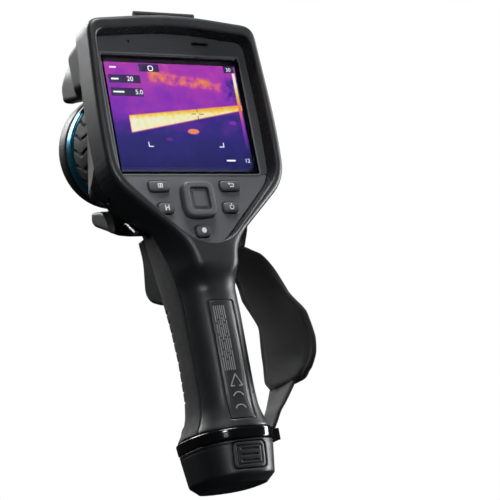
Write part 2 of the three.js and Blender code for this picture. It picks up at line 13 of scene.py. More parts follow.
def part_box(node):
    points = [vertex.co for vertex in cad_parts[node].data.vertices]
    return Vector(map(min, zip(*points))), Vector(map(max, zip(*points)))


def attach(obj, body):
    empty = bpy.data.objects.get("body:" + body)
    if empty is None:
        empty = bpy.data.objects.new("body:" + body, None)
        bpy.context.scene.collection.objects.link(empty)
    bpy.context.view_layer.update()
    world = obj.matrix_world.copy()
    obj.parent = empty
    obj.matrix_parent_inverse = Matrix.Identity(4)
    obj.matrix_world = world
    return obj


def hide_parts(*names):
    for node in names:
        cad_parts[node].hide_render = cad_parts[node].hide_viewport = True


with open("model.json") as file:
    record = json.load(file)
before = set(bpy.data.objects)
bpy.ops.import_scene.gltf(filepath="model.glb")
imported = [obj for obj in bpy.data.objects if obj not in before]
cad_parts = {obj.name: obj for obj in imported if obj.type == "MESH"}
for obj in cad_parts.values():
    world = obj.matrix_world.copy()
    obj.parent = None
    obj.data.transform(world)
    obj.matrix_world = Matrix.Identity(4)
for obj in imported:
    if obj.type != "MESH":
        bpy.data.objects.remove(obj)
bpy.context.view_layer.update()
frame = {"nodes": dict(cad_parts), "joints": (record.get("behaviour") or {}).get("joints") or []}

MM = 0.001


def node_box(name):
    low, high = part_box(name)
    return np.array(low) / MM, np.array(high) / MM


def joint(name):
    return next(j for j in frame["joints"] if j["name"] == name)


# ---- places, from the frame ----
GLASS_LOW, GLASS_HIGH = node_box("display_glass")
BEZEL_LOW, BEZEL_HIGH = node_box("rear_bezel")
SCREEN_Z = (GLASS_LOW[2] + GLASS_HIGH[2]) / 2
GLASS_Y = GLASS_LOW[1]
PLATE_Y = GLASS_HIGH[1]
RIM_Y = BEZEL_LOW[1]
BEZEL_FRONT = BEZEL_HIGH[1]
LENS = np.array(joint("focus_turn")["pos_m"]) / MM
PITCH = math.atan2(joint("focus_turn")["axis"][2], joint("focus_turn")["axis"][1])
COLLAR_LOW, COLLAR_HIGH = node_box("collar_ring")
CAP_LOW, CAP_HIGH = node_box("battery_cap")
GAP = 0.35
RING_R = 35.3
FRAME_U = -45.0
BODY_TOP = 57.6
BODY_BOTTOM = -51.0


def to_lens(y, z):
    """Distance along the lens axis and height above it."""
    c, s = math.cos(PITCH), math.sin(PITCH)
    return (y - LENS[1]) * c + (z - LENS[2]) * s, (z - LENS[2]) * c - (y - LENS[1]) * s


def from_lens(u, v):
    c, s = math.cos(PITCH), math.sin(PITCH)
    return LENS[1] + u * c - v * s, LENS[2] + u * s + v * c


def lens_place(points):
    """Points given as (x, along the lens axis, above it) in the row frame."""
    y, z = from_lens(points[:, 1], points[:, 2])
    return np.stack([points[:, 0], y, z], 1)


# ---- outlines: each corner is [x, y, length of the straight that its curve takes up] ----
def outline(corners, steps=6, closed=True):
    points = []
    count = len(corners)
    for i, corner in enumerate(corners):
        at = np.array(corner[:2], float)
        reach = corner[2] if len(corner) > 2 else 0
        end = not closed and i in (0, count - 1)
        if reach <= 0 or end:
            points.append(at)
            continue
        before = np.array(corners[i - 1][:2], float) - at
        after = np.array(corners[(i + 1) % count][:2], float) - at
        a = at + before * min(reach / np.linalg.norm(before), 0.48)
        b = at + after * min(reach / np.linalg.norm(after), 0.48)
        for t in np.linspace(0, 1, steps + 1):
            points.append(a * (1 - t) ** 2 + 2 * at * t * (1 - t) + b * t * t)
    return np.array(points)


def mirrored(half, steps=6):
    left = [[-x, y, *rest] for x, y, *rest in half if x > 0]
    return outline([*half, *reversed(left)], steps)


def round_rect(width, height, reach, x=0.0, y=0.0, steps=6):
    w, h = width / 2, height / 2
    return outline([[x + w, y + h, reach], [x - w, y + h, reach], [x - w, y - h, reach],
                    [x + w, y - h, reach]], steps)


# ---- distances: negative inside, in millimetres ----
def flat_distance(points, a, b):
    """Distance to a closed outline in the plane of a and b."""
    a, b = np.broadcast_arrays(a, b)
    nearest = np.full(a.shape, 1e9)
    odd = np.zeros(a.shape, bool)
    for (x0, y0), (x1, y1) in zip(points, np.roll(points, -1, 0)):
        ex, ey = x1 - x0, y1 - y0
        size = ex * ex + ey * ey
        if size < 1e-9:
            continue
        wx, wy = a - x0, b - y0
        t = np.clip((wx * ex + wy * ey) / size, 0, 1)
        nearest = np.minimum(nearest, (wx - ex * t) ** 2 + (wy - ey * t) ** 2)
        if y0 != y1:
            odd ^= ((y0 > b) != (y1 > b)) & (a < ex * (b - y0) / ey + x0)
    return np.where(odd, -1, 1) * np.sqrt(nearest)


def joined(a, b, reach):
    return np.maximum(reach, np.minimum(a, b)) - np.hypot(np.maximum(reach - a, 0), np.maximum(reach - b, 0))


def common(a, b, reach):
    return np.minimum(-reach, np.maximum(a, b)) + np.hypot(np.maximum(a + reach, 0), np.maximum(b + reach, 0))


def cut(a, b, reach):
    return common(a, -b, reach)


def slab(t, low, high):
    return np.abs(t - (low + high) / 2) - (high - low) / 2


def eased(stations, spread):
    """Smooth curves through rows of [height, value, ...], as functions of height."""
    rows = np.array(stations, float)
    fine = np.linspace(rows[0, 0] - 3 * spread, rows[-1, 0] + 3 * spread, 800)
    step = fine[1] - fine[0]
    kernel = np.exp(-0.5 * (np.arange(-3 * spread, 3 * spread, step) / spread) ** 2)
    kernel /= kernel.sum()
    half = len(kernel) // 2

    def smooth(values):
        padded = np.pad(values, (half, len(kernel) - 1 - half), mode="edge")
        return np.convolve(padded, kernel, mode="valid")

    tables = [smooth(np.interp(fine, rows[:, 0], rows[:, i])) for i in range(1, rows.shape[1])]
    return [lambda z, table=table: np.interp(z, fine, table) for table in tables]


def sections(stations, spread, squareness):
    """Distance to a body of rounded-square sections: [height, half width, half depth, centre y]."""
    width, depth, centre = eased(stations, spread)

    def distance(x, y, z):
        w, d, c = width(z), depth(z), centre(z)
        ratio = (np.abs(x / w) ** squareness + np.abs((y - c) / d) ** squareness) ** (1 / squareness)
        return (ratio - 1) * np.minimum(w, d)

    return distance


# ---- meshes ----
def sample(values, at):
    """Values of a grid between its points."""
    base = np.clip(np.floor(at).astype(int), 0, np.array(values.shape[:3]) - 2)
    share = at - base
    total = 0
    for corner in np.ndindex(2, 2, 2):
        weight = np.prod(np.where(np.array(corner) == 1, share, 1 - share), axis=1)
        i, j, k = (base + corner).T
        total = total + values[i, j, k] * (weight[:, None] if values.ndim == 4 else weight)
    return total


def new_piece(name, points, faces, smooth=True):
    mesh = bpy.data.meshes.new(name)
    mesh.from_pydata([tuple(p) for p in np.asarray(points) * MM], [],
                     [tuple(int(i) for i in f) for f in faces])
    mesh.update()
    if smooth:
        mesh.shade_smooth()
    piece = bpy.data.objects.new(name, mesh)
    bpy.context.scene.collection.objects.link(piece)
    return piece


def skin(name, field, low, high, step, place=None):
    """A mesh of quads over the surface where field is nought, with each point moved onto it."""
    axes = [np.arange(a - 2 * step, b + 3 * step, step) for a, b in zip(low, high)]
    shape = [len(a) for a in axes]
    x, y, z = axes[0][:, None, None], axes[1][None, :, None], axes[2][None, None, :]
    values = np.broadcast_to(field(x, y, z), shape).astype(np.float32)
    grid = openvdb.FloatGrid(4.0 * step)
    grid.copyFromArray(np.ascontiguousarray(np.clip(values, -4 * step, 4 * step)))
    at, quads = grid.convertToQuads(isovalue=0.0)
    at = np.array(at, float)
    quads = np.array(quads)
    origin = np.array([a[0] for a in axes])
    slope = np.stack(np.gradient(values, step), axis=-1)
    for _ in range(2):
        normal = sample(slope, at)
        steepness = np.maximum(np.linalg.norm(normal, axis=1, keepdims=True), 0.2)
        points = at * step + origin
        off = np.clip(field(*points.T), -step, step)[:, None]
        at = at - off * normal / steepness**2 / step
    points = at * step + origin
    normal = sample(slope, at)
    normal /= np.maximum(np.linalg.norm(normal, axis=1, keepdims=True), 1e-9)
    a, b, c = (points[quads[:, i]] for i in range(3))
    if (np.cross(b - a, c - a) * normal[quads[:, 0]]).sum() < 0:
        quads = quads[:, ::-1]
    if place is not None:
        tips = place(points + normal)
        points = place(points)
        normal = tips - points
    piece = new_piece(name, points, quads)
    piece.data.normals_split_custom_set_from_vertices(normal)
    return piece


def rings(name, loops, closed=True, capped=False):
    """A tube of quads through loops of points that all have the same count."""
    count, around = len(loops), len(loops[0])
    faces = []
    for i in range(count if closed else count - 1):
        for j in range(around):
            k, m = (i + 1) % count, (j + 1) % around
            faces.append((i * around + j, i * around + m, k * around + m, k * around + j))
    if capped:
        faces.append(tuple(reversed(range(around))))
        faces.append(tuple(range((count - 1) * around, count * around)))
    piece = new_piece(name, np.concatenate(loops), faces)
    fix_normals(piece)
    return piece


def fix_normals(piece):
    mesh = bmesh.new()
    mesh.from_mesh(piece.data)
    bmesh.ops.remove_doubles(mesh, verts=mesh.verts, dist=1e-7)
    bmesh.ops.recalc_face_normals(mesh, faces=mesh.faces)
    mesh.to_mesh(piece.data)
    mesh.free()


def crisp(piece, angle=38):
    """Smooth shading that stays sharp across edges steeper than the angle."""
    piece.data.set_sharp_from_angle(angle=math.radians(angle))
    return piece


def turned(name, profile, sides=96, steps=5, wave=None, centre=(0, 0)):
    """A turned piece about the lens axis. Its profile's corners are [radius, along, reach]."""
    closed = profile[0][0] > 0
    line = outline(profile, steps, closed)
    angles = np.linspace(0, 2 * math.pi, sides, endpoint=False)
    loops = []
    for radius, along in line:
        r = np.full(sides, radius) if wave is None else wave(angles, radius, along)
        at = np.stack([centre[0] + r * np.cos(angles), np.full(sides, along),
                       centre[1] + r * np.sin(angles)], 1)
        loops.append(lens_place(at))
    piece = rings(name, loops, closed)
    return crisp(piece)


def edge_loft(name, points, profile):
    """A closed moulding that follows an outline in x and z; its profile is [inward, y] corners."""
    before, after = np.roll(points, 1, 0), np.roll(points, -1, 0)
    along = after - before
    inward = np.stack([-along[:, 1], along[:, 0]], 1)
    inward /= np.linalg.norm(inward, axis=1, keepdims=True)
    if ((points.mean(0) - points) * inward).sum() < 0:
        inward = -inward
    loops = []
    for depth, y in profile:
        flat = points + inward * depth
        loops.append(np.stack([flat[:, 0], np.full(len(flat), y), flat[:, 1]], 1))
    return crisp(rings(name, loops), 50)


def plate_mesh(name, points, low, high, place=None):
    """A thin plate cut to an outline in x and z, between two depths."""
    count = len(points)
    at = np.concatenate([np.insert(points, 1, depth, axis=1) for depth in (low, high)])
    if place is not None:
        at = place(at)
    faces = [tuple(range(count)), tuple(reversed(range(count, 2 * count)))]
    for i in range(count):
        j = (i + 1) % count
        faces.append((i, count + i, count + j, j))
    piece = new_piece(name, at, faces, smooth=False)
    fix_normals(piece)
    return piece


def merge(name, pieces):
    """Several meshes as one object that keeps their materials."""
    first = pieces[0]
    with bpy.context.temp_override(active_object=first, selected_editable_objects=pieces, object=first):
        bpy.ops.object.join()
    first.name = name
    first.data.name = name
    return first


def subdivide(piece, levels):
    """Catmull-Clark subdivision, applied."""
    modifier = piece.modifiers.new("subdivision", "SUBSURF")
    modifier.levels = levels
    modifier.render_levels = levels
    apply_modifiers(piece)


def apply_modifiers(piece):
    evaluated = piece.evaluated_get(bpy.context.evaluated_depsgraph_get())
    mesh = bpy.data.meshes.new_from_object(evaluated)
    old = piece.data
    piece.modifiers.clear()
    piece.data = mesh
    mesh.name = piece.name
    bpy.data.meshes.remove(old)


def bevelled(node, width=0.25, segments=2):
    """A CAD node whose shape is right, with its edges broken."""
    piece = frame["nodes"][node]
    modifier = piece.modifiers.new("broken edges", "BEVEL")
    modifier.width = width * MM
    modifier.segments = segments
    modifier.limit_method = "ANGLE"
    modifier.angle_limit = math.radians(35)
    modifier.harden_normals = False
    return piece


def dress(piece, material, body, replaces=()):
    """Gives a new piece its material and its body, and hides the CAD nodes it stands for."""
    if material is not None:
        piece.data.materials.clear()
        piece.data.materials.append(material)
    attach(piece, body)
    if replaces:
        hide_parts(*replaces)
    return piece


# ---- materials ----
class Paint:
    """A node material with a Principled shader, and short calls for the nodes that feed it."""

    def __init__(self, name):
        self.material = bpy.data.materials.new(name)
        self.material.use_nodes = True
        self.tree = self.material.node_tree
        self.shader = self.tree.nodes["Principled BSDF"]
        self.where = self.node("ShaderNodeTexCoord").outputs["Object"]

    def node(self, kind, **settings):
        made = self.tree.nodes.new(kind)
        for key, value in settings.items():
            setattr(made, key, value)
        return made

    def feed(self, socket, value):
        if isinstance(value, bpy.types.NodeSocket):
            self.tree.links.new(value, socket)
        elif value is not None:
            socket.default_value = value

    def math(self, operation, a, b=None, c=None, clamp=False):
        made = self.node("ShaderNodeMath", operation=operation, use_clamp=clamp)
        for socket, value in zip(made.inputs, (a, b, c)):
            self.feed(socket, value)
        return made.outputs[0]

    def times(self, a, b):
        return self.math("MULTIPLY", a, b)

    def plus(self, a, b):
        return self.math("ADD", a, b)

    def less(self, a, b):
        return self.math("SUBTRACT", a, b)

    def moved(self, scale=(1, 1, 1), turn=(0, 0, 0), shift=(0, 0, 0)):
        made = self.node("ShaderNodeMapping")
        self.feed(made.inputs["Vector"], self.where)
        made.inputs["Scale"].default_value = scale
        made.inputs["Rotation"].default_value = turn
        made.inputs["Location"].default_value = shift
        return made.outputs[0]

    def texture(self, kind, output, where, numbers, **settings):
        made = self.node(f"ShaderNodeTex{kind}", **settings)
        self.feed(made.inputs["Vector"], where or self.where)
        for key, value in numbers.items():
            made.inputs[key].default_value = value
        return made.outputs[output]

    def noise(self, scale, detail=3.0, roughness=0.55, where=None, distortion=0.0):
        numbers = {"Scale": scale, "Detail": detail, "Roughness": roughness, "Distortion": distortion}
        return self.texture("Noise", "Fac", where, numbers)

    def cells(self, scale):
        return self.texture("Voronoi", "Distance", None, {"Scale": scale}, feature="F1")

    def wave(self, scale, axis, distortion=0.0):
        numbers = {"Scale": scale, "Distortion": distortion}
        return self.texture("Wave", "Fac", None, numbers, bands_direction=axis)

    def spread(self, value, low, high, new_low=0.0, new_high=1.0):
        made = self.node("ShaderNodeMapRange", clamp=True)
        self.feed(made.inputs["Value"], value)
        for name, number in zip(("From Min", "From Max", "To Min", "To Max"), (low, high, new_low, new_high)):
            made.inputs[name].default_value = number
        return made.outputs[0]

    def mix(self, share, a, b):
        made = self.node("ShaderNodeMix", data_type="RGBA")
        self.feed(made.inputs[0], share)
        self.feed(made.inputs[6], a if isinstance(a, bpy.types.NodeSocket) else (*a, 1))
        self.feed(made.inputs[7], b if isinstance(b, bpy.types.NodeSocket) else (*b, 1))
        return made.outputs[2]

    def blend(self, share, a, b):
        """Between two numbers, as mix is between two colours."""
        made = self.node("ShaderNodeMix", data_type="FLOAT")
        for i, value in ((0, share), (2, a), (3, b)):
            self.feed(made.inputs[i], value)
        return made.outputs[0]

    def ramp(self, value, stops):
        made = self.node("ShaderNodeValToRGB")
        self.feed(made.inputs["Fac"], value)
        band = made.color_ramp
        while len(band.elements) < len(stops):
            band.elements.new(0.5)
        for element, (position, colour) in zip(band.elements, stops):
            element.position = position
            element.color = (*colour, 1)
        return made.outputs["Color"]

    def bump(self, height, strength, distance, under=None):
        made = self.node("ShaderNodeBump")
        made.inputs["Strength"].default_value = strength
        made.inputs["Distance"].default_value = distance
        self.feed(made.inputs["Height"], height)
        if under is not None:
            self.feed(made.inputs["Normal"], under)
        return made.outputs[0]

    def place(self):
        """Object coordinates in millimetres as three sockets."""
        made = self.node("ShaderNodeSeparateXYZ")
        self.feed(made.inputs[0], self.where)
        return [self.times(made.outputs[i], 1 / MM) for i in range(3)]

    def worn(self, low=0.52, high=0.62):
        """How far a point stands on an outer edge."""
        edge = self.node("ShaderNodeNewGeometry").outputs["Pointiness"]
        return self.spread(edge, low, high)

    def set(self, **sockets):
        for key, value in sockets.items():
            self.feed(self.shader.inputs[key.replace("_", " ")], value)
        return self.material


def shade(colour, factor):
    return tuple(min(1.0, c * factor) for c in colour)


def moulded(name, colour, roughness, grain=2600, depth=0.05, wear=0.25, specular=0.5):
    """Moulded plastic: spark-eroded grain, faint blotches, and edges rubbed lighter."""
    p = Paint(name)
    blotch = p.noise(38, 4)
    fine = p.noise(grain, 2, 0.7)
    base = p.mix(blotch, shade(colour, 0.86), shade(colour, 1.14))
    base = p.mix(p.times(fine, 0.35), base, shade(colour, 1.35))
    rubbed = p.times(p.worn(), wear)
    base = p.mix(rubbed, base, shade(colour, 2.2))
    rough = p.spread(p.noise(150, 3), 0.3, 0.7, roughness - 0.05, roughness + 0.05)
    normal = p.bump(fine, depth, 0.0002, p.bump(p.cells(grain * 0.55), depth * 0.7, 0.0002))
    return p.set(Base_Color=base, Roughness=rough, Normal=normal, Specular_IOR_Level=specular)


def rubbery(name, colour, roughness=0.72):
    """Soft-touch rubber: matt, with a fine pebble and a faint dusty bloom."""
    p = Paint(name)
    bloom = p.noise(60, 5)
    pebble = p.cells(1500)
    base = p.mix(bloom, shade(colour, 0.8), shade(colour, 1.25))
    base = p.mix(p.times(p.worn(), 0.3), base, shade(colour, 2.4))
    rough = p.spread(p.noise(220, 3), 0.3, 0.7, roughness - 0.07, roughness + 0.07)
    normal = p.bump(pebble, 0.12, 0.0002, p.bump(p.noise(4200, 2), 0.06, 0.0001))
    return p.set(Base_Color=base, Roughness=rough, Normal=normal, Sheen_Weight=0.06, Sheen_Roughness=0.5,
                 Specular_IOR_Level=0.3)


def polished(name, colour, roughness, coat=0.6):
    """Gloss plastic: a clear coat over black, with faint swirls and dust."""
    p = Paint(name)
    dust = p.spread(p.noise(900, 4), 0.62, 0.75)
    base = p.mix(p.times(dust, 0.12), p.mix(p.noise(45), shade(colour, 0.8), shade(colour, 1.2)),
                 shade(colour, 4))
    rough = p.spread(p.noise(260, 5, distortion=1.5), 0.3, 0.75, roughness * 0.7, roughness * 1.5)
    normal = p.bump(p.noise(120, 2), 0.02, 0.0004)
    return p.set(Base_Color=base, Roughness=rough, Normal=normal, Coat_Weight=coat, Coat_Roughness=0.06)


def metallic(name, colour, roughness, scratch=(300, 300, 12000), bumpy=0.04):
    """Machined metal: fine directional lines and cloudy roughness."""
    p = Paint(name)
    lines = p.noise(1, 4, 0.6, p.moved(scale=scratch))
    base = p.mix(lines, shade(colour, 0.82), shade(colour, 1.12))
    rough = p.spread(p.plus(lines, p.noise(180, 3)), 0.6, 1.4, roughness * 0.75, roughness * 1.35)
    normal = p.bump(lines, bumpy, 0.0001)
    return p.set(Base_Color=base, Roughness=rough, Normal=normal, Metallic=1.0)


def anodised():
    """The blue grip ring: satin anodised metal with fine turned lines round the lens axis."""
    p = Paint("anodised_blue")
    deep, bright = (0.006, 0.12, 0.24), (0.07, 0.46, 0.70)
    turn = p.moved(turn=(-PITCH, 0, 0))
    lines = p.noise(1, 3, 0.6, p.moved(scale=(60, 5200, 60), turn=(-PITCH, 0, 0)))
    cloud = p.noise(55, 4, 0.6, turn)
    base = p.mix(p.spread(p.plus(lines, cloud), 0.6, 1.4), deep, bright)
    base = p.mix(p.times(p.worn(), 0.5), base, (0.45, 0.75, 0.88))
    rough = p.spread(lines, 0.25, 0.75, 0.20, 0.34)
    return p.set(Base_Color=base, Roughness=rough, Normal=p.bump(lines, 0.06, 0.0001), Metallic=0.85,
                 Coat_Weight=0.3)


def germanium():
    """Coated infrared glass: cyan, with a painted reflection across it that is bright in the middle and
    deeper blue to one side, and a soft bloom in the coating.
    """
    p = Paint("coated_germanium")
    x, _, z = p.place()
    low, high = node_box("lens_element")
    middle = (low + high) / 2
    # painted reflection: a ramp across the lens face, bright in the middle and deep blue at one side
    across = p.spread(p.plus(x, p.times(z, -0.5)), -11 - middle[2] * 0.5, 11 - middle[2] * 0.5)
    cloud = p.noise(140, 3)
    base = p.ramp(across,
                  [(0.0, (0.02, 0.30, 0.42)), (0.45, (0.10, 0.62, 0.72)), (0.75, (0.35, 0.55, 0.66)),
                   (1.0, (0.03, 0.10, 0.22))])
    base = p.mix(p.times(cloud, 0.3), base, (0.05, 0.45, 0.60))
    rough = p.spread(p.noise(400, 3), 0.3, 0.7, 0.05, 0.11)
    return p.set(Base_Color=base, Roughness=rough, Metallic=0.75, Coat_Weight=1.0, Coat_Roughness=0.03,
                 Normal=p.bump(p.noise(90, 2), 0.01, 0.0004))


def clear_glass(name, tint=(0.9, 0.92, 0.95)):
    """Cover glass: clear, with a trace of smears in its roughness."""
    p = Paint(name)
    smear = p.noise(70, 5, distortion=2.0)
    rough = p.spread(smear, 0.45, 0.8, 0.0, 0.05)
    base = p.mix(p.times(smear, 0.05), tint, shade(tint, 0.8))
    return p.set(Base_Color=base, Roughness=rough, Transmission_Weight=1.0, IOR=1.12,
                 Normal=p.bump(p.noise(30, 1), 0.002, 0.0005))


def woven(name, colour):
    """Nylon webbing: raised ribs along its length, crossed by the weft."""
    p = Paint(name)
    along = p.wave(520, "Z", distortion=0.6)
    ribs = p.wave(430, "Y", distortion=0.4)
    weave = p.times(along, ribs)
    fuzz = p.noise(2600, 3)
    base = p.mix(p.plus(p.times(weave, 0.7), p.times(fuzz, 0.3)), shade(colour, 0.45), shade(colour, 1.9))
    rough = p.spread(fuzz, 0.3, 0.7, 0.78, 0.95)
    normal = p.bump(weave, 0.6, 0.0004, p.bump(fuzz, 0.2, 0.0002))
    return p.set(Base_Color=base, Roughness=rough, Normal=normal, Sheen_Weight=0.35, Sheen_Roughness=0.45)


def padding_cloth():
    """The strap pad's facing: a matt brushed knit with fine rows and soft wear."""
    p = Paint("pad_textile")
    rows = p.wave(560, "Z", distortion=1.2)
    wales = p.wave(620, "Y", distortion=1.0)
    knit = p.times(rows, wales)
    fuzz = p.noise(3000, 4, 0.7)
    patch = p.noise(45, 4)
    colour = (0.0085, 0.0087, 0.009)
    base = p.mix(patch, shade(colour, 0.75), shade(colour, 1.3))
    base = p.mix(p.times(p.plus(knit, fuzz), 0.32), base, shade(colour, 3.2))
    rough = p.spread(fuzz, 0.3, 0.7, 0.84, 0.98)
    normal = p.bump(knit, 0.35, 0.00035, p.bump(fuzz, 0.35, 0.0002))
    return p.set(Base_Color=base, Roughness=rough, Normal=normal, Sheen_Weight=0.12, Sheen_Roughness=0.5,
                 Specular_IOR_Level=0.2)


def circuit_board():
    """Green solder mask with darker tracks and pale pads."""
    p = Paint("circuit_board")
    tracks = p.spread(p.wave(260, "X", distortion=6.0), 0.55, 0.62)
    pads = p.spread(p.cells(420), 0.10, 0.14, 1.0, 0.0)
    base = p.mix(tracks, (0.006, 0.075, 0.028), (0.010, 0.14, 0.05))
    base = p.mix(pads, base, (0.55, 0.50, 0.36))
    rough = p.spread(pads, 0, 1, 0.42, 0.22)
    return p.set(Base_Color=base, Roughness=rough, Normal=p.bump(tracks, 0.2, 0.0001),
                 Metallic=p.times(pads, 0.8))


IRON = [
    (0.00, (0.006, 0.010, 0.060)),
    (0.22, (0.030, 0.022, 0.210)),
    (0.42, (0.240, 0.030, 0.480)),
    (0.56, (0.500, 0.050, 0.450)),
    (0.70, (0.900, 0.200, 0.120)),
    (0.82, (1.000, 0.480, 0.030)),
    (0.92, (1.000, 0.830, 0.220)),
    (1.00, (1.000, 0.970, 0.700)),
]


def thermal_image():
    """The lit panel: a warm tapering beam across a cool floor, under a mottled wall."""
    p = Paint("thermal_image")
    x, _, z_row = p.place()
    z = p.less(z_row, SCREEN_Z)
    cloud = p.noise(95, 4, 0.6)
    fine = p.noise(420, 3, 0.6)

    def line(level, slope):
        """Height above a straight line across the panel."""
        return p.less(z, p.math("MULTIPLY_ADD", x, slope, level))

    def soft(value, reach):
        return p.spread(value, -reach, reach)

    top_edge, fold_edge, low_edge = line(2.9, 0.106), line(0.9, 0.095), line(-4.5, 0.20)
    beam = p.times(soft(p.times(top_edge, -1.0), 0.35), soft(low_edge, 0.5))
    beam = p.times(beam, p.spread(x, -32.0, -31.2))
    lower_face = p.times(soft(p.times(fold_edge, -1.0), 1.2), beam)

    floor = p.spread(z, -31, -4, 0.09, 0.25)
    floor = p.plus(floor, p.spread(cloud, 0.35, 0.75, -0.03, 0.07))
    wall = p.plus(p.spread(z, 0, 31, 0.44, 0.54), p.spread(cloud, 0.3, 0.7, -0.06, 0.07))
    heat = p.blend(soft(line(0.6, 0.075), 3.2), floor, wall)

    rows = p.times(p.spread(line(21.5, -0.13), -4.5, -2.0), p.spread(line(21.5, -0.13), 2.5, 5.0, 1.0, 0.0))
    rows = p.times(rows, p.times(p.spread(x, -17, -12), p.spread(x, 27, 33, 1.0, 0.0)))
    patches = p.spread(p.noise(190, 4, 0.65), 0.36, 0.64)
    heat = p.plus(heat, p.times(p.times(rows, patches), 0.17))
    cool_corner = p.times(p.spread(x, 30, 36), p.times(p.spread(z, 8, 12), p.spread(z, 22, 25, 1.0, 0.0)))
    heat = p.less(heat, p.times(cool_corner, p.spread(fine, 0.35, 0.6, 0.0, 0.3)))

    def spot(cx, cz, rx, rz, warmth):
        dx = p.math("DIVIDE", p.less(x, cx), rx)
        dz = p.math("DIVIDE", p.less(z, cz), rz)
        far = p.plus(p.times(dx, dx), p.times(dz, dz))
        return p.times(p.spread(p.plus(far, p.times(fine, 0.6)), 1.0, 1.5, 1.0, 0.0), warmth)

    for place in ((7.0, -9.6, 4.0, 1.7, 0.50), (-9.0, -14.5, 2.2, 1.0, 0.14), (33.5, -4.0, 2.6, 1.2, 0.16),
                  (-30, -8.0, 1.6, 1.0, 0.2)):
        heat = p.plus(heat, spot(*place))
    beam_heat = p.plus(p.spread(fine, 0.3, 0.7, 0.80, 0.88), p.times(lower_face, 0.12))
    beam_heat = p.plus(beam_heat, p.spread(x, -32, 40, 0.03, -0.02))
    heat = p.blend(beam, heat, beam_heat)

    scale_x = p.times(p.spread(x, 39.2, 39.3), p.spread(x, 41.1, 41.2, 1.0, 0.0))
    scale = p.times(scale_x, p.times(p.spread(z, -21.4, -21.2), p.spread(z, 26.9, 27.1, 1.0, 0.0)))
    shown = p.blend(scale, heat, p.spread(z, -21.4, 20.0, 0.2, 1.0))
    colour = p.ramp(shown, IRON)
    return p.set(Base_Color=(0.01, 0.01, 0.012, 1), Roughness=0.3, Emission_Color=colour,
                 Emission_Strength=0.95)


def glowing(name, colour, strength, change=0.15):
    """A lit mark on the panel, with the faint unevenness of its dots."""
    p = Paint(name)
    dots = p.noise(2400, 2)
    return p.set(Base_Color=p.mix(dots, shade(colour, 0.4), shade(colour, 0.5)), Roughness=0.5,
                 Emission_Color=p.mix(p.times(dots, change), colour, shade(colour, 0.7)),
                 Emission_Strength=strength)


SHELL = moulded("shell_plastic", (0.018, 0.0195, 0.022), 0.42)
SHELL_DARK = moulded("dark_plastic", (0.014, 0.0145, 0.0155), 0.45, grain=3000, depth=0.06)
TRIM = moulded("trim_plastic", (0.052, 0.055, 0.060), 0.42, grain=3200)
KEYPAD = moulded("keypad_plastic", (0.115, 0.121, 0.130), 0.5, grain=2200, depth=0.05)
KEY = moulded("key_rubber", (0.085, 0.090, 0.097), 0.5, grain=2000, depth=0.06, wear=0.5)
ICON = moulded("key_print", (0.85, 0.86, 0.88), 0.5)
RUBBER = rubbery("grip_rubber", (0.016, 0.0165, 0.0175))
GLOSS = polished("gloss_black", (0.006, 0.006, 0.007), 0.10)
# painted shade: a gloss darker than the shell, laid on the inner wall of the screen recess
RECESS_SHADE_GLOSS = polished("recess_gloss_painted_shade", (0.008, 0.0065, 0.008), 0.22, 0.3)
METAL = metallic("machined_metal", (0.56, 0.57, 0.58), 0.26)
STEEL = metallic("plated_steel", (0.40, 0.41, 0.42), 0.34, (9000, 300, 300))
BLACK_METAL = metallic("black_metal", (0.06, 0.062, 0.065), 0.3)
BLUE = anodised()
GERMANIUM = germanium()
GLASS = clear_glass("cover_glass")
LAMP_GLASS = polished("lamp_glass", (0.05, 0.052, 0.055), 0.08, 1.0)
WEBBING = woven("nylon_webbing", (0.012, 0.0123, 0.013))
PAD = padding_cloth()
BOARD = circuit_board()
BATTERY = moulded("battery_wrap", (0.020, 0.021, 0.024), 0.38)
LABEL = moulded("label_film", (0.024, 0.026, 0.029), 0.34, grain=1500, depth=0.02, wear=0.0)
PRINT = moulded("label_print", (0.30, 0.307, 0.315), 0.45, wear=0.0)
SCREEN = thermal_image()
MARK = glowing("screen_marks", (0.95, 0.96, 0.98), 1.0)
SHADOW_MARK = glowing("screen_boxes", (0.05, 0.03, 0.10), 0.6)

# ---- the housing: shield-shaped bezel that flows into the back of the handle ----
SHIELD = mirrored([
    [0, SCREEN_Z + 58.2, 40],
    [53, SCREEN_Z + 52.6, 8],
    [56, SCREEN_Z - 9, 22],
    [54.6, SCREEN_Z - 42, 12],
    [14.5, SCREEN_Z - 78.5, 9],
    [11.5, SCREEN_Z - 92, 4],
])


def window_outline(grow, steps=6):
    z = SCREEN_Z
    return mirrored([
        [0, z + 50.6 + grow, 36],
        [49 + grow, z + 45.6 + grow, 6],
        [50.5 + grow, z - 9, 20],
        [49.3 + grow, z - 39, 9],
        [10 + grow, z - 79 - grow, 12],
    ], steps)


WINDOW = window_outline(0)
HANDLE = sections([
    [20, 24.2, 26.3, 0],
    [28, 24.2, 26.3, 0],
    [33, 20.8, 23.8, -1],
    [40, 18.1, 21.6, -2.2],
    [50, 17.1, 20.7, -3.2],
    [72, 17, 20.6, -3.5],
    [91, 17.5, 21.1, -2.6],
    [110, 18.1, 21.9, -0.4],
    [133, 19, 23.2, 2.6],
    [158, 20.4, 25, 6.6],
    [175, 21, 26, 9],
], 2.2, 2.5)
(SEAM,) = eased([[20, -11.4], [47, -11.4], [99, -11.2], [121, -8.5], [134.5, -3.7], [143, 5], [148, 13.2],
                 [156, 26]], 2.5)
PACK_BAY = round_rect(25, 30, 7, 0, -2.4)
LABEL_RECT = round_rect(15.2, 65.8, 1.2, 0, 65.5)


def under_body(y, z):
    """Negative above the front shell's underside, ahead of the bezel."""
    _, v = to_lens(y, z)
    return np.maximum(-(v - BODY_BOTTOM + GAP), -(y - BEZEL_FRONT - GAP))


def battery_bay(x, y, z):
    return np.maximum(flat_distance(PACK_BAY, x, y), z - 124)


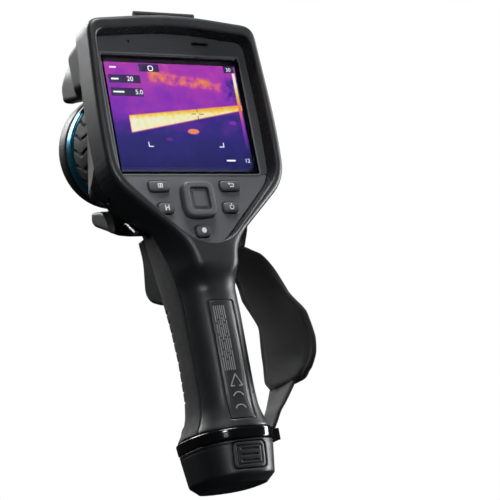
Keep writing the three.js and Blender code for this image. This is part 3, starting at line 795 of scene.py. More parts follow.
def housing_field(x, y, z):
    rim = common(flat_distance(SHIELD, x, z), y - BEZEL_FRONT, 1.4)
    rim = common(rim, RIM_Y - y, 3.2)
    handle = common(HANDLE(x, y, z), z - 150, 1)
    body = joined(rim, handle, 13)
    body = common(body, y - SEAM(z), 0.7)
    body = cut(body, under_body(y, z), 0.5)
    body = cut(body, flat_distance(WINDOW, x, z), 1.1)
    body = common(body, COLLAR_HIGH[2] + GAP - z, 0.4)
    label = np.maximum(np.maximum(flat_distance(LABEL_RECT, x, z), -(HANDLE(x, y, z) + 0.7)), y)
    body = cut(body, label, 0.25)
    return np.maximum(body, -battery_bay(x, y, z))


def make_housing():
    low = [BEZEL_LOW[0], RIM_Y, COLLAR_HIGH[2]]
    housing = skin("rear_housing", housing_field, low, [BEZEL_HIGH[0], 16, BEZEL_HIGH[2] + 1], 0.7)
    dress(housing, SHELL, "camera", ["rear_bezel", "handle_rear_shell"])
    # painted shade: a dark gloss sheet over the inner wall of the screen recess
    wall = edge_loft("recess_shade_liner", window_outline(0, 10),
                     [(-0.4, RIM_Y + 1.3), (0.05, RIM_Y + 1.25), (0.3, PLATE_Y), (-0.4, PLATE_Y)])
    dress(wall, RECESS_SHADE_GLOSS, "camera")


# ---- display ----
def make_display():
    for node, material in (("display_glass", GLASS), ("lcd_panel", SCREEN), ("display_trim", TRIM)):
        bevelled(node, 0.2).data.materials[0] = material
    mask_y = PLATE_Y + 0.06
    mask = edge_loft("display_mask",
                     round_rect(GLASS_HIGH[0] * 2 - 0.3, GLASS_HIGH[2] - GLASS_LOW[2] - 0.3, 2, 0, SCREEN_Z),
                     [(0, mask_y), (2.1, mask_y), (2.1, mask_y + 0.2), (0, mask_y + 0.2)])
    dress(mask, GLOSS, "camera")
    edge = edge_loft("display_edge",
                     round_rect(GLASS_HIGH[0] * 2 + 0.5, GLASS_HIGH[2] - GLASS_LOW[2] + 0.5, 2.2, 0,
                                SCREEN_Z),
                     [(-0.5, GLASS_Y - 0.05), (-0.3, GLASS_Y - 0.35), (0.2, GLASS_Y - 0.35),
                      (0.45, GLASS_Y - 0.05), (0.2, GLASS_Y + 0.3)])
    dress(edge, KEYPAD, "camera")


def bar(x, z, width, height, low, high):
    """A flat bar on the lit panel, placed from the panel's middle."""
    return plate_mesh("bar", round_rect(width, height, 0.0, x, SCREEN_Z + z), low, high)


def number(name, text, x, z, height):
    """Generic digits as a flat mesh on the panel."""
    curve = bpy.data.curves.new(name, "FONT")
    curve.body = text
    curve.size = height * 1.35 * MM
    maker = bpy.data.objects.new(name, curve)
    bpy.context.scene.collection.objects.link(maker)
    mesh = bpy.data.meshes.new_from_object(maker.evaluated_get(bpy.context.evaluated_depsgraph_get()))
    bpy.data.objects.remove(maker)
    flat = np.array([v.co for v in mesh.vertices]) / MM
    at = np.stack([flat[:, 0] + x, np.full(len(flat), PLATE_Y + 0.24), flat[:, 1] + z + SCREEN_Z], 1)
    faces = [tuple(f.vertices) for f in mesh.polygons]
    return new_piece(name, at, faces, smooth=False)


def make_marks():
    """Cross-hair, corner brackets, readings and their dark boxes on the lit panel."""
    low, high = PLATE_Y + 0.2, PLATE_Y + 0.26
    marks = []

    def mark(x, z, width, height):
        marks.append(bar(x, z, width, height, low, high))

    cx, cz = 11.7, 1.0
    cross = []
    for side in (-1, 1):
        for x, z, width, height in ((cx + side * 2.6, cz, 2.8, 0.42), (cx, cz + side * 2.6, 0.42, 2.8)):
            cross.append(bar(x, z, width, height, low, high))
    for side in (-1, 1):
        mark(1.2 + side * 23.6 - side * 1.4, -18.8, 2.8, 0.5)
        mark(1.2 + side * 23.6, -17.6, 0.5, 2.8)
    for z, width in ((28.2, 4.0), (21.2, 4.4), (13.4, 6.6)):
        mark(-38.6 + width / 2, z, width, 0.9)
    mark(27.8, -27.0, 5.6, 0.9)
    ring = edge_loft("mark", round_rect(3.4, 3.4, 1.6, -13.2, SCREEN_Z + 28.2),
                     [(0, low), (0.5, low), (0.5, high), (0, high)])
    marks.append(ring)
    for text, x, z, height in (("20", -29.0, 20.1, 2.9), ("5.0", -25.2, 12.2, 2.9), ("30", 35.6, 28.0, 2.4),
                               ("12", 36.8, -28.2, 2.6)):
        marks.append(number("digits", text, x, z, height))
    dress(merge("screen_marks", marks), MARK, "camera")
    boxes = cross
    for x, z, width, height in ((-30.4, 21.3, 19.5, 5.0), (-30.2, 13.4, 19.8, 5.0),
                                (-14.2, 28.4, 12.5, 4.6), (37.4, 29.2, 6.6, 4.2)):
        boxes.append(bar(x, z, width, height, PLATE_Y + 0.27, PLATE_Y + 0.33))
    dress(merge("screen_boxes", boxes), SHADOW_MARK, "camera")


# ---- keys ----
KEY_BODIES = {
    "gallery_button": "gallery_key",
    "program_button": "program_key",
    "back_button": "back_key",
    "power_button": "power_key",
    "record_button": "record_key",
}


KEY_ROUND = 0.42


def key_frame(node):
    low, high = node_box(node)
    return (low[0] + high[0]) / 2, (low[2] + high[2]) / 2, high[0] - low[0], high[2] - low[2], low[1], high[1]


def icon_shapes(node, x, z):
    """Light pictograms: a picture frame, a grid, a return arrow, a power ring and a dot."""
    if node == "gallery_button":
        return [round_rect(3.0, 0.6, 0, x, z + 1.0), round_rect(3.0, 0.6, 0, x, z - 1.0),
                round_rect(0.6, 2.4, 0, x - 1.25, z), round_rect(0.6, 2.4, 0, x + 1.25, z),
                round_rect(0.9, 0.9, 0.4, x, z)]
    if node == "program_button":
        return [round_rect(0.7, 3.0, 0, x - 1.0, z), round_rect(0.7, 3.0, 0, x + 1.0, z),
                round_rect(2.6, 0.7, 0, x, z)]
    if node == "back_button":
        return [outline([[x - 2.0, z + 0.9], [x - 0.8, z + 1.9], [x - 0.8, z - 0.1]]),
                round_rect(2.4, 0.6, 0, x + 0.3, z + 0.9),
                round_rect(0.6, 2.2, 0, x + 1.5, z + 0.1), round_rect(2.4, 0.6, 0, x + 0.4, z - 0.9)]
    if node == "power_button":
        arc = [[x + 1.5 * math.sin(t), z + 1.5 * math.cos(t)]
               for t in np.linspace(0.7, 2 * math.pi - 0.7, 24)]
        inner = [[x + 1.0 * math.sin(t), z + 1.0 * math.cos(t)]
                 for t in np.linspace(2 * math.pi - 0.7, 0.7, 24)]
        return [np.array(arc + inner), round_rect(0.5, 1.6, 0, x, z + 1.2)]
    return [np.array([[x + 1.5 * math.cos(t), z + 1.5 * math.sin(t)]
                      for t in np.linspace(0, 2 * math.pi, 28, endpoint=False)])]


def make_keys():
    for node, body in KEY_BODIES.items():
        x0, z0, width, height, front, back = key_frame(node)
        shape = round_rect(width, height, min(width, height) * KEY_ROUND, x0, z0)

        def field(x, y, z, shape=shape, front=front, back=back, x0=x0, z0=z0, width=width, height=height):
            crown = front + 0.55 * ((x - x0) / width * 2) ** 2 + 0.4 * ((z - z0) / height * 2) ** 2
            return common(common(flat_distance(shape, x, z), crown - y, 0.9), y - back, 0.2)

        low = [x0 - width / 2, front, z0 - height / 2]
        cap = skin(f"{body}_cap", field, low, [x0 + width / 2, back, z0 + height / 2], 0.25)
        cap.data.materials.append(KEY)
        icons = [plate_mesh("icon", s, front - 0.06, front + 0.6) for s in icon_shapes(node, x0, z0)]
        for icon in icons:
            icon.data.materials.append(ICON)
        dress(merge(f"{body}_cap", [cap, *icons]), None, body, [node])
    make_nav()


def make_nav():
    x0, z0, width, height, front, back = key_frame("nav_ring")
    outer = round_rect(width, height, 5.2, x0, z0)
    cx, cz, cw, ch, cfront, cback = key_frame("nav_key")
    hole = round_rect(cw + 0.7, ch + 0.7, 2.4, cx, cz)

    def ring(x, y, z):
        inset = flat_distance(outer, x, z)
        slope = front - y - 0.55 * np.minimum(inset + 3.6, 0)
        body = common(inset, slope, 1.6)
        body = common(body, y - back, 0.2)
        return cut(body, flat_distance(hole, x, z), 0.45)

    piece = skin("nav_pad_ring", ring, [x0 - width / 2, front, z0 - height / 2],
                 [x0 + width / 2, back, z0 + height / 2], 0.3)
    dress(piece, KEY, "nav_pad", ["nav_ring"])
    centre = round_rect(cw, ch, 2.2, cx, cz)
    island = round_rect(cw - 3.4, ch - 3.4, 1.4, cx + 0.2, cz)

    def key(x, y, z):
        body = common(common(flat_distance(centre, x, z), cfront + 0.7 - y, 0.35), y - cback, 0.2)
        top = common(flat_distance(island, x, z), cfront - y, 0.35)
        return joined(body, np.maximum(top, y - cback), 0.25)

    piece = skin("nav_centre_key", key, [cx - cw / 2, cfront, cz - ch / 2],
                 [cx + cw / 2, cback, cz + ch / 2], 0.25)
    dress(piece, KEY, "nav_centre", ["nav_key"])


def make_keypad_plate():
    plate = window_outline(-GAP)
    low, high = node_box("keypad_plate")
    wells = []
    for node in [*KEY_BODIES, "nav_ring"]:
        x0, z0, width, height, _, _ = key_frame(node)
        wells.append(round_rect(width + 0.8, height + 0.8, min(width, height) * KEY_ROUND + 0.2, x0, z0))

    def field(x, y, z):
        body = common(flat_distance(plate, x, z), z - high[2], 0.3)
        body = common(body, GLASS_Y - y, 0.45)
        body = np.maximum(body, y - PLATE_Y)
        for well in wells:
            body = cut(body, flat_distance(well, x, z), 0.4)
        return body

    piece = skin("keypad_surface", field, [low[0], GLASS_Y, low[2]], [high[0], PLATE_Y, high[2]], 0.4)
    dress(piece, KEYPAD, "camera", ["keypad_plate"])


# ---- front shell ----
BODY_OUTLINE = mirrored([
    [0, BODY_TOP, 20],
    [42, BODY_TOP - 3.4, 14],
    [48.5, 8, 18],
    [44, -21, 10],
    [24, -45, 8],
    [20, -51, 3],
    [0, -51, 0],
])
BODY_PLAN = mirrored([[26, 5, 0], [31, -7, 6], [39.8, -54, 4], [47, -78, 6], [49, -125, 0]])
ROOF_PLAN = mirrored([[33.4, 50, 0], [39.4, 10, 8], [44.5, -10, 6], [44.5, -20, 0]])
ROOF_SIDE = outline([
    [-16, 262, 0],
    [4, 270.6, 9],
    [28, 274.6, 12],
    [45, 273.6, 8],
    [41, 246, 0],
    [-16, 230, 0],
])
BROW = mirrored([
    [0, BODY_TOP, 14],
    [25, BODY_TOP - 1.6, 8],
    [31, BODY_TOP - 9, 8],
    [31.5, 29, 2],
    [29, 26, 2],
])
BROW_SIDE = outline([
    [FRAME_U - 14, BODY_TOP + 1, 0],
    [-8, BODY_TOP + 1, 9],
    [3.2, 38, 3],
    [0, 28.6, 2],
    [FRAME_U - 14, 28.6, 0],
])
CHIN_SIDE = outline([
    [FRAME_U - 14, -37, 0],
    [-9, -37, 1],
    [-8, -40, 2],
    [-15, -45.5, 5],
    [FRAME_U - 14, -51, 0],
])
CHIN_PLAN = outline([[-27, FRAME_U - 14, 0], [27, FRAME_U - 14, 0], [19.5, -9, 5], [-19.5, -9, 5]])
CORNER = outline([
    [36.8, FRAME_U + 8, 0], [36.8, FRAME_U, 3], [41, FRAME_U - 10.5, 1], [60, FRAME_U - 10.5, 0],
    [60, FRAME_U + 8, 0],
])
RECESS = round_rect(69, 67, 8, 0, -4)
HATCH_BAY = round_rect(32, 15, 4)
ROOF_SLOPE = math.atan2(4, 24)
PANEL = outline([
    [-56.2, 34.8, 4],
    [-79.4, 34.8, 2],
    [-79.4, -27.4, 2],
    [-62, -34.4, 5],
    [-56.2, -24.4, 5],
])
PANEL_DEPTH = 1.6
HATCH_Y, HATCH_Z = 15.0, 272.4
STRAP_BAR = (22.0, 20.6, 154.6)
BAR_TILT = math.radians(43)
TRIGGER_HALF = 10.4
KEY_ROOM_HALF = 6.4
EYE_X, EYE_V = -12, BODY_TOP - 9.6


def brow_window(grow):
    arch = RING_R + 7
    return outline([
        [27.5 + grow, 50 + grow, 6],
        [-27.5 - grow, 50 + grow, 6],
        [-28 - grow, 36.5 - grow, 2],
        [-20, 39 - grow, 5],
        [0, arch + 2 - grow, 12],
        [20, 39 - grow, 5],
        [28 + grow, 36.5 - grow, 2],
    ])


def strap_slot(x, y, z, grow):
    """The slanting slot for a strap bar, on both sides."""
    side, bar_y, bar_z = STRAP_BAR
    dy, dz = y - bar_y, z - bar_z
    along = dy * math.cos(BAR_TILT) + dz * math.sin(BAR_TILT)
    over = dz * math.cos(BAR_TILT) - dy * math.sin(BAR_TILT)
    box = np.maximum(np.abs(along) - 7.5 - grow, np.abs(over) - 2.3 - grow)
    return np.maximum(box, np.abs(np.abs(x) - side) - 4.5)


def trigger_outline(grow):
    return outline([
        [12 - grow, 152.4 + grow, 0],
        [41 + grow, 152.4 + grow, 1],
        [39 + grow, 140, 5],
        [43 + grow, 122, 4],
        [39 + grow, 115.6 - grow, 4],
        [28, 110.6 - grow, 4],
        [12 - grow, 106 - grow, 0],
    ])


def trigger_room(x, y, z):
    """Room for the trigger frame in the parts round it."""
    return np.maximum(flat_distance(trigger_outline(GAP), y, z), np.abs(x) - TRIGGER_HALF - GAP)


def shell_field(x, u, v):
    y, z = from_lens(u, v)
    radius = np.hypot(x, v)
    body = common(flat_distance(BODY_OUTLINE, x, v), flat_distance(BODY_PLAN, x, u), 2.0)
    panel = np.maximum(flat_distance(PANEL, u, v), -PANEL_DEPTH - 0.35 - body)
    body = common(body, u - FRAME_U, 2.6)
    crown = z - np.interp(np.abs(x), [0, 18, 30, 38, 44.5, 48], [276.2, 275.6, 272.2, 269, 261, 240])
    roof = common(flat_distance(ROOF_SIDE, y, z), crown * 0.85, 5)
    roof = common(roof, flat_distance(ROOF_PLAN, x, y), 3)
    body = joined(body, roof, 8)
    brow = common(flat_distance(BROW, x, v), flat_distance(BROW_SIDE, u, v), 2.6)
    body = joined(body, brow, 5)
    chin = common(flat_distance(CHIN_SIDE, u, v), flat_distance(CHIN_PLAN, x, u), 1.6)
    body = joined(body, chin, 4)
    body = common(body, BEZEL_FRONT + GAP - y, 1.0)
    body = cut(body, np.maximum(flat_distance(CORNER, np.abs(x), u), v - 29.5), 1.4)
    recess = np.maximum(flat_distance(RECESS, x, v), np.maximum(FRAME_U - 12 - u, u - 12 - FRAME_U))
    body = cut(body, recess, 1.0)
    body = cut(body, np.maximum(radius - RING_R - np.where(u > -31, 2.6, 0.7), -62 - u), 0.6)
    body = cut(body, panel, 0.4)
    body = cut(body, np.maximum(flat_distance(brow_window(GAP), x, v), -3.2 - u), 0.35)
    body = np.maximum(body, -np.maximum(np.hypot(x - EYE_X, v - EYE_V) - 5.5, -20 - u))
    dy, dz = y - HATCH_Y, z - HATCH_Z
    along = dy * math.cos(ROOF_SLOPE) + dz * math.sin(ROOF_SLOPE)
    above = dz * math.cos(ROOF_SLOPE) - dy * math.sin(ROOF_SLOPE)
    bay = np.maximum(flat_distance(HATCH_BAY, x, along), -3.0 - above)
    port = np.maximum(np.abs(x + 8) - 5.4, np.maximum(np.abs(along) - 2.6, -9 - above))
    body = cut(body, np.minimum(bay, port), 0.5)
    body = np.maximum(body, -strap_slot(x, y, z, 0.2))
    handle = np.maximum(HANDLE(x, y, z) - GAP, z - 158.4)
    body = np.maximum(body, -handle)
    return np.maximum(body, -trigger_room(x, y, z))


def make_front_shell():
    low = [-48.5, -108, BODY_BOTTOM - 1]
    piece = skin("front_body", shell_field, low, [48.5, 4.5, BODY_TOP + 18], 0.9, lens_place)
    dress(piece, SHELL, "camera", ["front_shell"])
    for node in ("side_panel_left", "side_panel_right"):
        bevelled(node, 0.35).data.materials[0] = SHELL_DARK


# ---- brow window ----
def make_brow():
    eye = round_rect(19, 8, 5, EYE_X, EYE_V)

    def field(x, u, v):
        body = common(flat_distance(brow_window(0), x, v), u + 0.6, 0.9)
        body = np.maximum(body, -3 - u)
        body = cut(body, flat_distance(eye, x, v), 0.5)
        return cut(body, np.hypot(x - 3, v - EYE_V) - 1.1, 0.25)

    piece = skin("brow_window", field, [-28, -3, 36], [28, -0.5, 51], 0.35, lens_place)
    dress(piece, GLOSS, "camera", ["sensor_window"])
    lens = turned("visual_lens",
                  [[0, -16], [4.9, -16, 0.3], [4.9, -5, 0.5], [4.1, -4.6, 0.3], [3.6, -5.4, 0.3],
                   [2.6, -4.4, 1.2], [0, -4.0]],
                  40, 4, centre=(EYE_X, EYE_V))
    dress(lens, LAMP_GLASS, "camera", ["visual_camera"])
    bevelled("laser_module", 0.2).data.materials[0] = STEEL


# ---- lens stack ----
FOCUS_RIBS = 24
FOCUS_U = -31.0
FOCUS_BACK, FOCUS_FRONT = -45.4, -20.2
FACE_LAMPS = ("lamp_left", "range_window", "lamp_right")


def tread(angles, radius, along):
    """Slanting finger grooves in the focus ring's outer face."""
    outer = np.clip((radius - (RING_R - 3.0)) / 1.6, 0, 1)
    slant = 0.10 * np.abs(along - FOCUS_U) / 8
    phase = np.mod((angles + slant) * FOCUS_RIBS / (2 * math.pi), 1.0)
    depth = np.clip(1 - np.abs(phase - 0.5) / 0.12, 0, 1)
    depth = depth * depth * (3 - 2 * depth)
    row = 1 - np.clip((np.abs(along - FOCUS_U) - 9.0) / 1.2, 0, 1)
    return radius - 1.5 * depth * outer * row


def make_lens():
    low, high = FOCUS_BACK, FOCUS_FRONT
    steps = np.linspace(low + 0.9, high - 0.9, 24)
    crown = [[RING_R - 0.7 - 0.004 * (u - FOCUS_U) ** 2, u] for u in steps]
    profile = [[RING_R - 4.4, low, 0.2], [RING_R - 1.6, low, 0.6], *crown, [RING_R - 1.6, high, 0.6],
               [RING_R - 4.4, high, 0.2]]
    focus = turned("focus_grip", profile, 480, 3, tread)
    dress(focus, RUBBER, "focus", ["focus_ring"])
    r = RING_R
    blue = turned("blue_band", [
        [r - 6, -19.8, 0.2], [r - 1.6, -19.8, 0.5], [r - 0.9, -18.6, 0.5], [r - 0.9, -18.0, 0.3],
        [r - 0.2, -17.6, 0.4],
        [r, -15, 1.6], [r - 0.2, -12.2, 0.6], [r - 0.9, -11.8, 0.3], [r - 1.0, -10.4, 0.4],
        [r - 6, -10.4, 0.2],
    ], 160)
    dress(blue, BLUE, "camera", ["blue_ring"])
    front = turned("front_bezel_ring", [
        [r - 6, -10, 0.2], [r - 1.0, -10, 0.5], [r - 0.4, -9.0, 0.5], [r - 0.1, -5, 2],
        [r - 0.5, -0.2, 1.2], [r - 1.4, 0.5, 0.5],
        [r - 3.4, 2.6, 0.8], [r - 4.4, 3, 0.4], [r - 5.2, 2.2, 0.6], [r - 6, -0.2, 0.3],
    ], 160)
    dress(front, SHELL_DARK, "camera", ["front_ring"])
    make_face_plate()
    barrel = turned("lens_sleeve", [
        [12, -20, 0.2], [16.8, -20, 0.2], [16.8, -1.6, 0.5], [16.2, -0.4, 0.5], [15.0, -0.4, 0.4],
        [14.6, -2.0, 0.4], [13.9, -2.2, 0.3],
        [13.7, -4.4, 0.4], [12.9, -4.7, 0.3], [12.6, -8, 0.4],
    ], 128)
    dress(barrel, BLACK_METAL, "camera", ["lens_barrel"])
    glint = turned("retaining_ring", [
        [12.2, -9.6, 0.2], [13.2, -9.6, 0.2], [13.4, -6.6, 0.5], [12.6, -5.9, 0.4], [11.8, -6.9, 0.4],
        [11.8, -9.4, 0.2],
    ], 128, 5, notches)
    dress(glint, METAL, "camera")
    dome = turned("germanium_lens", [
        [0, -18], [11.3, -18, 0.4], [11.6, -12, 0.8], [10.9, -10.6, 1.0], [8.4, -9.5, 2], [5.6, -8.9, 2],
        [2.8, -8.55, 1.4], [0, -8.5],
    ], 96, 6)
    dress(dome, GERMANIUM, "camera", ["lens_element"])
    for node in FACE_LAMPS:
        make_lamp(node)


def notches(angles, radius, along):
    """Three spanner slots in the retaining ring."""
    turn = np.mod(angles, 2 * math.pi / 3) - math.pi / 3
    slot = np.clip(1 - np.abs(turn) / 0.06, 0, 1) > 0
    return radius - 0.5 * slot * (along > -7.5)


def make_face_plate():
    lamps = [node_lens_centre(n) for n in FACE_LAMPS]
    well = outline([[-16, -17.5, 4], [16, -17.5, 4], [12.5, -27.2, 5], [-12.5, -27.2, 5]])

    def field(x, u, v):
        radius = np.hypot(x, v)
        body = common(radius - RING_R + 6.4, v - 24, 1.0)
        body = common(common(body, u + 0.6, 0.5), -3.4 - u, 0.2)
        body = cut(body, radius - 17.2, 0.5)
        # Held at nought, so that only the rounding of the cut opens the groove.
        groove = np.maximum(np.maximum(np.abs(radius - 24.8) - 0.3, -0.95 - u), 0)
        body = cut(body, np.maximum(groove, -v - 14), 0.15)
        tray = np.maximum(flat_distance(well, x, v), -1.3 - u)
        body = cut(body, tray, 0.4)
        for cx, cv, r in lamps:
            body = cut(body, np.hypot(x - cx, v - cv) - r - 0.25, 0.2)
        return body

    piece = skin("face_disc", field, [-29, -3.4, -29], [29, -0.5, 25], 0.4, lens_place)
    dress(piece, SHELL_DARK, "camera", ["face_plate"])


def node_lens_centre(node):
    """Centre across the lens face, and radius, of a round node there."""
    low, high = node_box(node)
    middle = (low + high) / 2
    _, v = to_lens(middle[1], middle[2])
    return middle[0], v, (high[0] - low[0]) / 2


def make_lamp(node):
    cx, cv, r = node_lens_centre(node)
    rim = turned(f"{node}_rim", [
        [0, -5], [r, -5, 0.2], [r, -1.6, 0.3], [r - 0.4, -1.2, 0.2], [r - 0.9, -1.3, 0.2],
        [r - 1.1, -2.2, 0.2], [r * 0.3, -2.4, 0.2], [0, -2.4],
    ], 48, 4, centre=(cx, cv))
    rim.data.materials.append(SHELL_DARK)
    dome = turned(f"{node}_dome",
                  [[0, -2.6], [r - 1.3, -2.6, 0.1], [r - 1.5, -1.9, 0.5], [r * 0.3, -1.4, 0.6], [0, -1.35]],
                  48, 4, centre=(cx, cv))
    dome.data.materials.append(METAL if node == "range_window" else LAMP_GLASS)
    dress(merge(f"{node}_unit", [rim, dome]), None, "camera", [node])


# ---- hatch ----
def make_hatch():
    hinge = np.array(joint("hatch_open")["pos_m"]) / MM
    back = hinge[1] + 2.4
    plan = mirrored([[19, back, 1], [20, -6, 3], [30, 24, 5], [22, 29, 6]])
    side = outline([
        [back, 267, 0], [-8, 267.4, 2], [4, 272, 9], [30, 276.2, 0],
        [30, 278.7, 2], [4, 274.7, 9], [-8, 270.1, 3], [back, 268.9, 0],
    ])

    def field(x, y, z):
        sag = 3.2 * (np.abs(x) / 30) ** 4
        lid = common(flat_distance(plan, x, y), flat_distance(side, y, z + sag), 0.7)
        for i in range(3):
            rib = np.maximum(np.abs(y - 25.4 + 1.8 * i) - 0.4, np.abs(x) - 9)
            top = z - np.interp(y, [4, 30], [274.7, 278.7]) + sag
            lid = cut(lid, np.maximum(rib, -(top + 0.7)), 0.2)
        return lid

    piece = skin("hatch_lid", field, [-30.5, back, 266], [30.5, 29.5, 279.5], 0.5)
    dress(piece, SHELL, "hatch", ["hatch_cover"])
    bevelled("hatch_hinge", 0.3).data.materials[0] = RUBBER
    bevelled("usb_port", 0.15).data.materials[0] = STEEL


# ---- grip, trigger ----
def shield_edge(x, z):
    return flat_distance(SHIELD, x, z) - GAP


def grip_field(x, y, z):
    handle = HANDLE(x, y, z)
    ribs = np.clip(1 - np.abs(np.mod(z - 47.5, 5.6) - 2.8) / 0.9, 0, 1)
    ribs = ribs * ribs * (3 - 2 * ribs) * (z > 46) * (z < 104) * np.clip((y - 2) / 8, 0, 1)
    body = handle + 0.9 * ribs
    body = common(body, SEAM(z) + GAP - y, 0.7)
    body = common(common(body, COLLAR_HIGH[2] + GAP - z, 0.4), z - 158, 0.4)
    shelf = -np.maximum(shield_edge(x, z), y - BEZEL_FRONT - GAP)
    body = np.maximum(body, shelf)
    body = np.maximum(body, -battery_bay(x, y, z))
    body = np.maximum(body, -trigger_room(x, y, z))
    return np.maximum(body, -strap_slot(x, y, z, 0.2))


def make_grip():
    piece = skin("rubber_grip", grip_field, [-21.5, -12, COLLAR_HIGH[2]], [21.5, 32.5, 158], 0.65)
    dress(piece, RUBBER, "camera", ["front_grip"])
    toe = outline([[24, 23.4, 1.2], [33, 23.4, 3], [33.5, 31, 4], [26, 40, 4], [20, 41, 0], [20, 29, 0]])
    collar = sections([[10, 24, 26.4, 0], [COLLAR_HIGH[2], 24.75, 27.05, 0], [40, 24.8, 27.1, 0]], 1, 2.6)

    def toe_field(x, y, z):
        body = common(flat_distance(toe, y, z), np.abs(x) - 11, 2.2)
        body = np.maximum(body, -(HANDLE(x, y, z) - GAP))
        return np.maximum(body, -np.maximum(collar(x, y, z), z - COLLAR_HIGH[2] - GAP))

    piece = skin("grip_toe_cap", toe_field, [-11, 19.5, 23], [11, 33.5, 41], 0.35)
    dress(piece, GLOSS, "camera", ["grip_toe"])


def make_trigger():
    guard = trigger_outline(0)

    def frame_field(x, y, z):
        body = common(flat_distance(guard, y, z), np.abs(x) - TRIGGER_HALF, 2.0)
        key_room = np.maximum(np.abs(x) - KEY_ROOM_HALF, slab(z, 133.7, 150.9))
        pull_room = np.maximum(np.abs(x) - KEY_ROOM_HALF, slab(z, 117.8, 133.4))
        body = cut(body, np.maximum(key_room, 34 - y), 0.5)
        body = cut(body, np.maximum(pull_room, 31.5 - y), 0.5)
        bay = np.maximum(np.abs(x) - KEY_ROOM_HALF, np.maximum(slab(z, 110, 150), slab(y, 12, 32)))
        body = np.maximum(body, -bay)
        inner = common(HANDLE(x, y, z), y - 34, 0.1) - GAP
        return np.maximum(body, -inner)

    low, high = node_box("trigger_frame")
    piece = skin("trigger_guard", frame_field, low, high, 0.5)
    dress(piece, SHELL, "camera", ["trigger_frame"])
    side = outline([[37, 133, 0.5], [43, 132.8, 2], [46.2, 124, 5], [44.4, 118.2, 1.5], [37, 118.2, 0.5]])
    pull = skin("trigger_lever", lambda x, y, z: common(flat_distance(side, y, z), np.abs(x) - 6, 1.3),
                [-6, 37, 118], [6, 46, 133], 0.3)
    dress(pull, SHELL_DARK, "trigger", ["trigger_pull"])
    low, high = node_box("trigger_key")
    face = round_rect(high[0] - low[0], high[2] - low[2], 2.0, 0, (low[2] + high[2]) / 2)
    dish = (low[2] + high[2]) / 2

    def key_field(x, y, z):
        front = high[1] - 0.7 * (1 - (x / 6) ** 2) * (1 - ((z - dish) / 8) ** 2)
        return common(common(flat_distance(face, x, z), y - front, 0.7), low[1] - y, 0.3)

    piece = skin("upper_key", key_field, low, high, 0.3)
    dress(piece, GLOSS, "laser_trigger", ["trigger_key"])


# ---- collar, battery cap, latches ----
CAP_SHAPE = sections([[-2, 16.8, 19, 0], [0, 16.8, 19, 0], [4.2, 21.2, 23.5, 0], [21.8, 23.3, 25.7, 0],
                      [26, 23.6, 26, 0]], 0.45, 2.6)
LATCH_RECT = round_rect(19.4, 14, 3.2, 0, 13.4)
LATCH_BACK = 19.4
LATCH_TRAVEL = 1.6


def latch_pocket(side, x, y, z):
    """Room in the battery cap for a press pad and its travel."""
    return np.maximum(flat_distance(LATCH_RECT, x, z) - GAP, LATCH_BACK - LATCH_TRAVEL - y * side)


def make_collar():
    collar = sections([[20, 23.5, 25.9, 0], [COLLAR_LOW[2], 23.6, 26.0, 0], [COLLAR_HIGH[2], 24.2, 26.5, 0],
                       [30, 24.3, 26.6, 0]], 0.8, 2.6)

    def collar_field(x, y, z):
        body = common(common(collar(x, y, z), z - COLLAR_HIGH[2], 0.9), COLLAR_LOW[2] - z, 0.7)
        return cut(body, flat_distance(round_rect(23.7, 28.7, 7, 0, -2.4), x, y), 0.4)

    dress(skin("gloss_collar", collar_field, COLLAR_LOW, COLLAR_HIGH, 0.45), GLOSS, "camera",
          ["collar_ring"])


def make_battery():
    pocket = round_rect(23.7, 22, 7, 0, -1)

    def cap_field(x, y, z):
        body = common(CAP_SHAPE(x, y, z), z - CAP_HIGH[2], 0.8)
        body = np.maximum(body, CAP_LOW[2] - z)
        for side in (-1, 1):
            body = cut(body, latch_pocket(side, x, y, z), 0.5)
        groove = np.maximum(np.abs(z - 19.9) - 0.3, -(CAP_SHAPE(x, y, z) + 0.4))
        body = cut(body, groove, 0.15)
        return np.maximum(body, -np.maximum(flat_distance(pocket, x, y), 17.8 - z))

    dress(skin("battery_base", cap_field, CAP_LOW, CAP_HIGH, 0.5), SHELL, "battery", ["battery_cap"])
    make_latches()
    bevelled("battery_pack", 0.6, 3).data.materials[0] = BATTERY
    bevelled("battery_contacts", 0.2).data.materials[0] = STEEL


def make_latches():
    for side, node in ((-1, "battery_latch_rear"), (1, "battery_latch_front")):
        low, high = node_box(node)

        def latch_field(x, y, z, side=side):
            skin_at = CAP_SHAPE(x, y, z) + 0.15
            body = common(flat_distance(LATCH_RECT, x, z), skin_at, 0.8)
            body = np.maximum(body, LATCH_BACK - y * side)
            rail = np.maximum(np.abs(flat_distance(LATCH_RECT, x, z) + 2.3) - 0.35, -(skin_at + 0.5))
            body = cut(body, rail, 0.15)
            for i in range(3):
                line = np.maximum(np.abs(z - 10.4 - 3 * i) - 0.45,
                                  np.maximum(np.abs(x) - 5.2, -(skin_at + 0.6)))
                body = cut(body, line, 0.2)
            return body

        body = "latch_rear" if side < 0 else "latch_front"
        dress(skin(f"{body}_pad", latch_field, low, high, 0.3), SHELL, body, [node])


# ---- label plate ----
def back_of_handle(x, z, out):
    """Points on the handle's back, standing out by a little."""
    y = np.full(x.shape, -22.0)
    for _ in range(12):
        y = y + (HANDLE(x, y, z) - out) * 0.9
    return y


def back_patch(name, points, out, thick=0.12):
    """A thin plate bent over the handle's back, round a convex outline."""
    flat = np.array([[px, pz] for px, pz in points])
    count = len(flat)
    layers = []
    for level in (out, out - thick):
        y = back_of_handle(flat[:, 0], flat[:, 1], level)
        layers.append(np.stack([flat[:, 0], y, flat[:, 1]], 1))
    walls = [(i, (i + 1) % count, count + (i + 1) % count, count + i) for i in range(count)]
    lids = [tuple(range(count)), tuple(range(2 * count - 1, count - 1, -1))]
    piece = new_piece(name, np.concatenate(layers), [*lids, *walls], False)
    fix_normals(piece)
    return piece


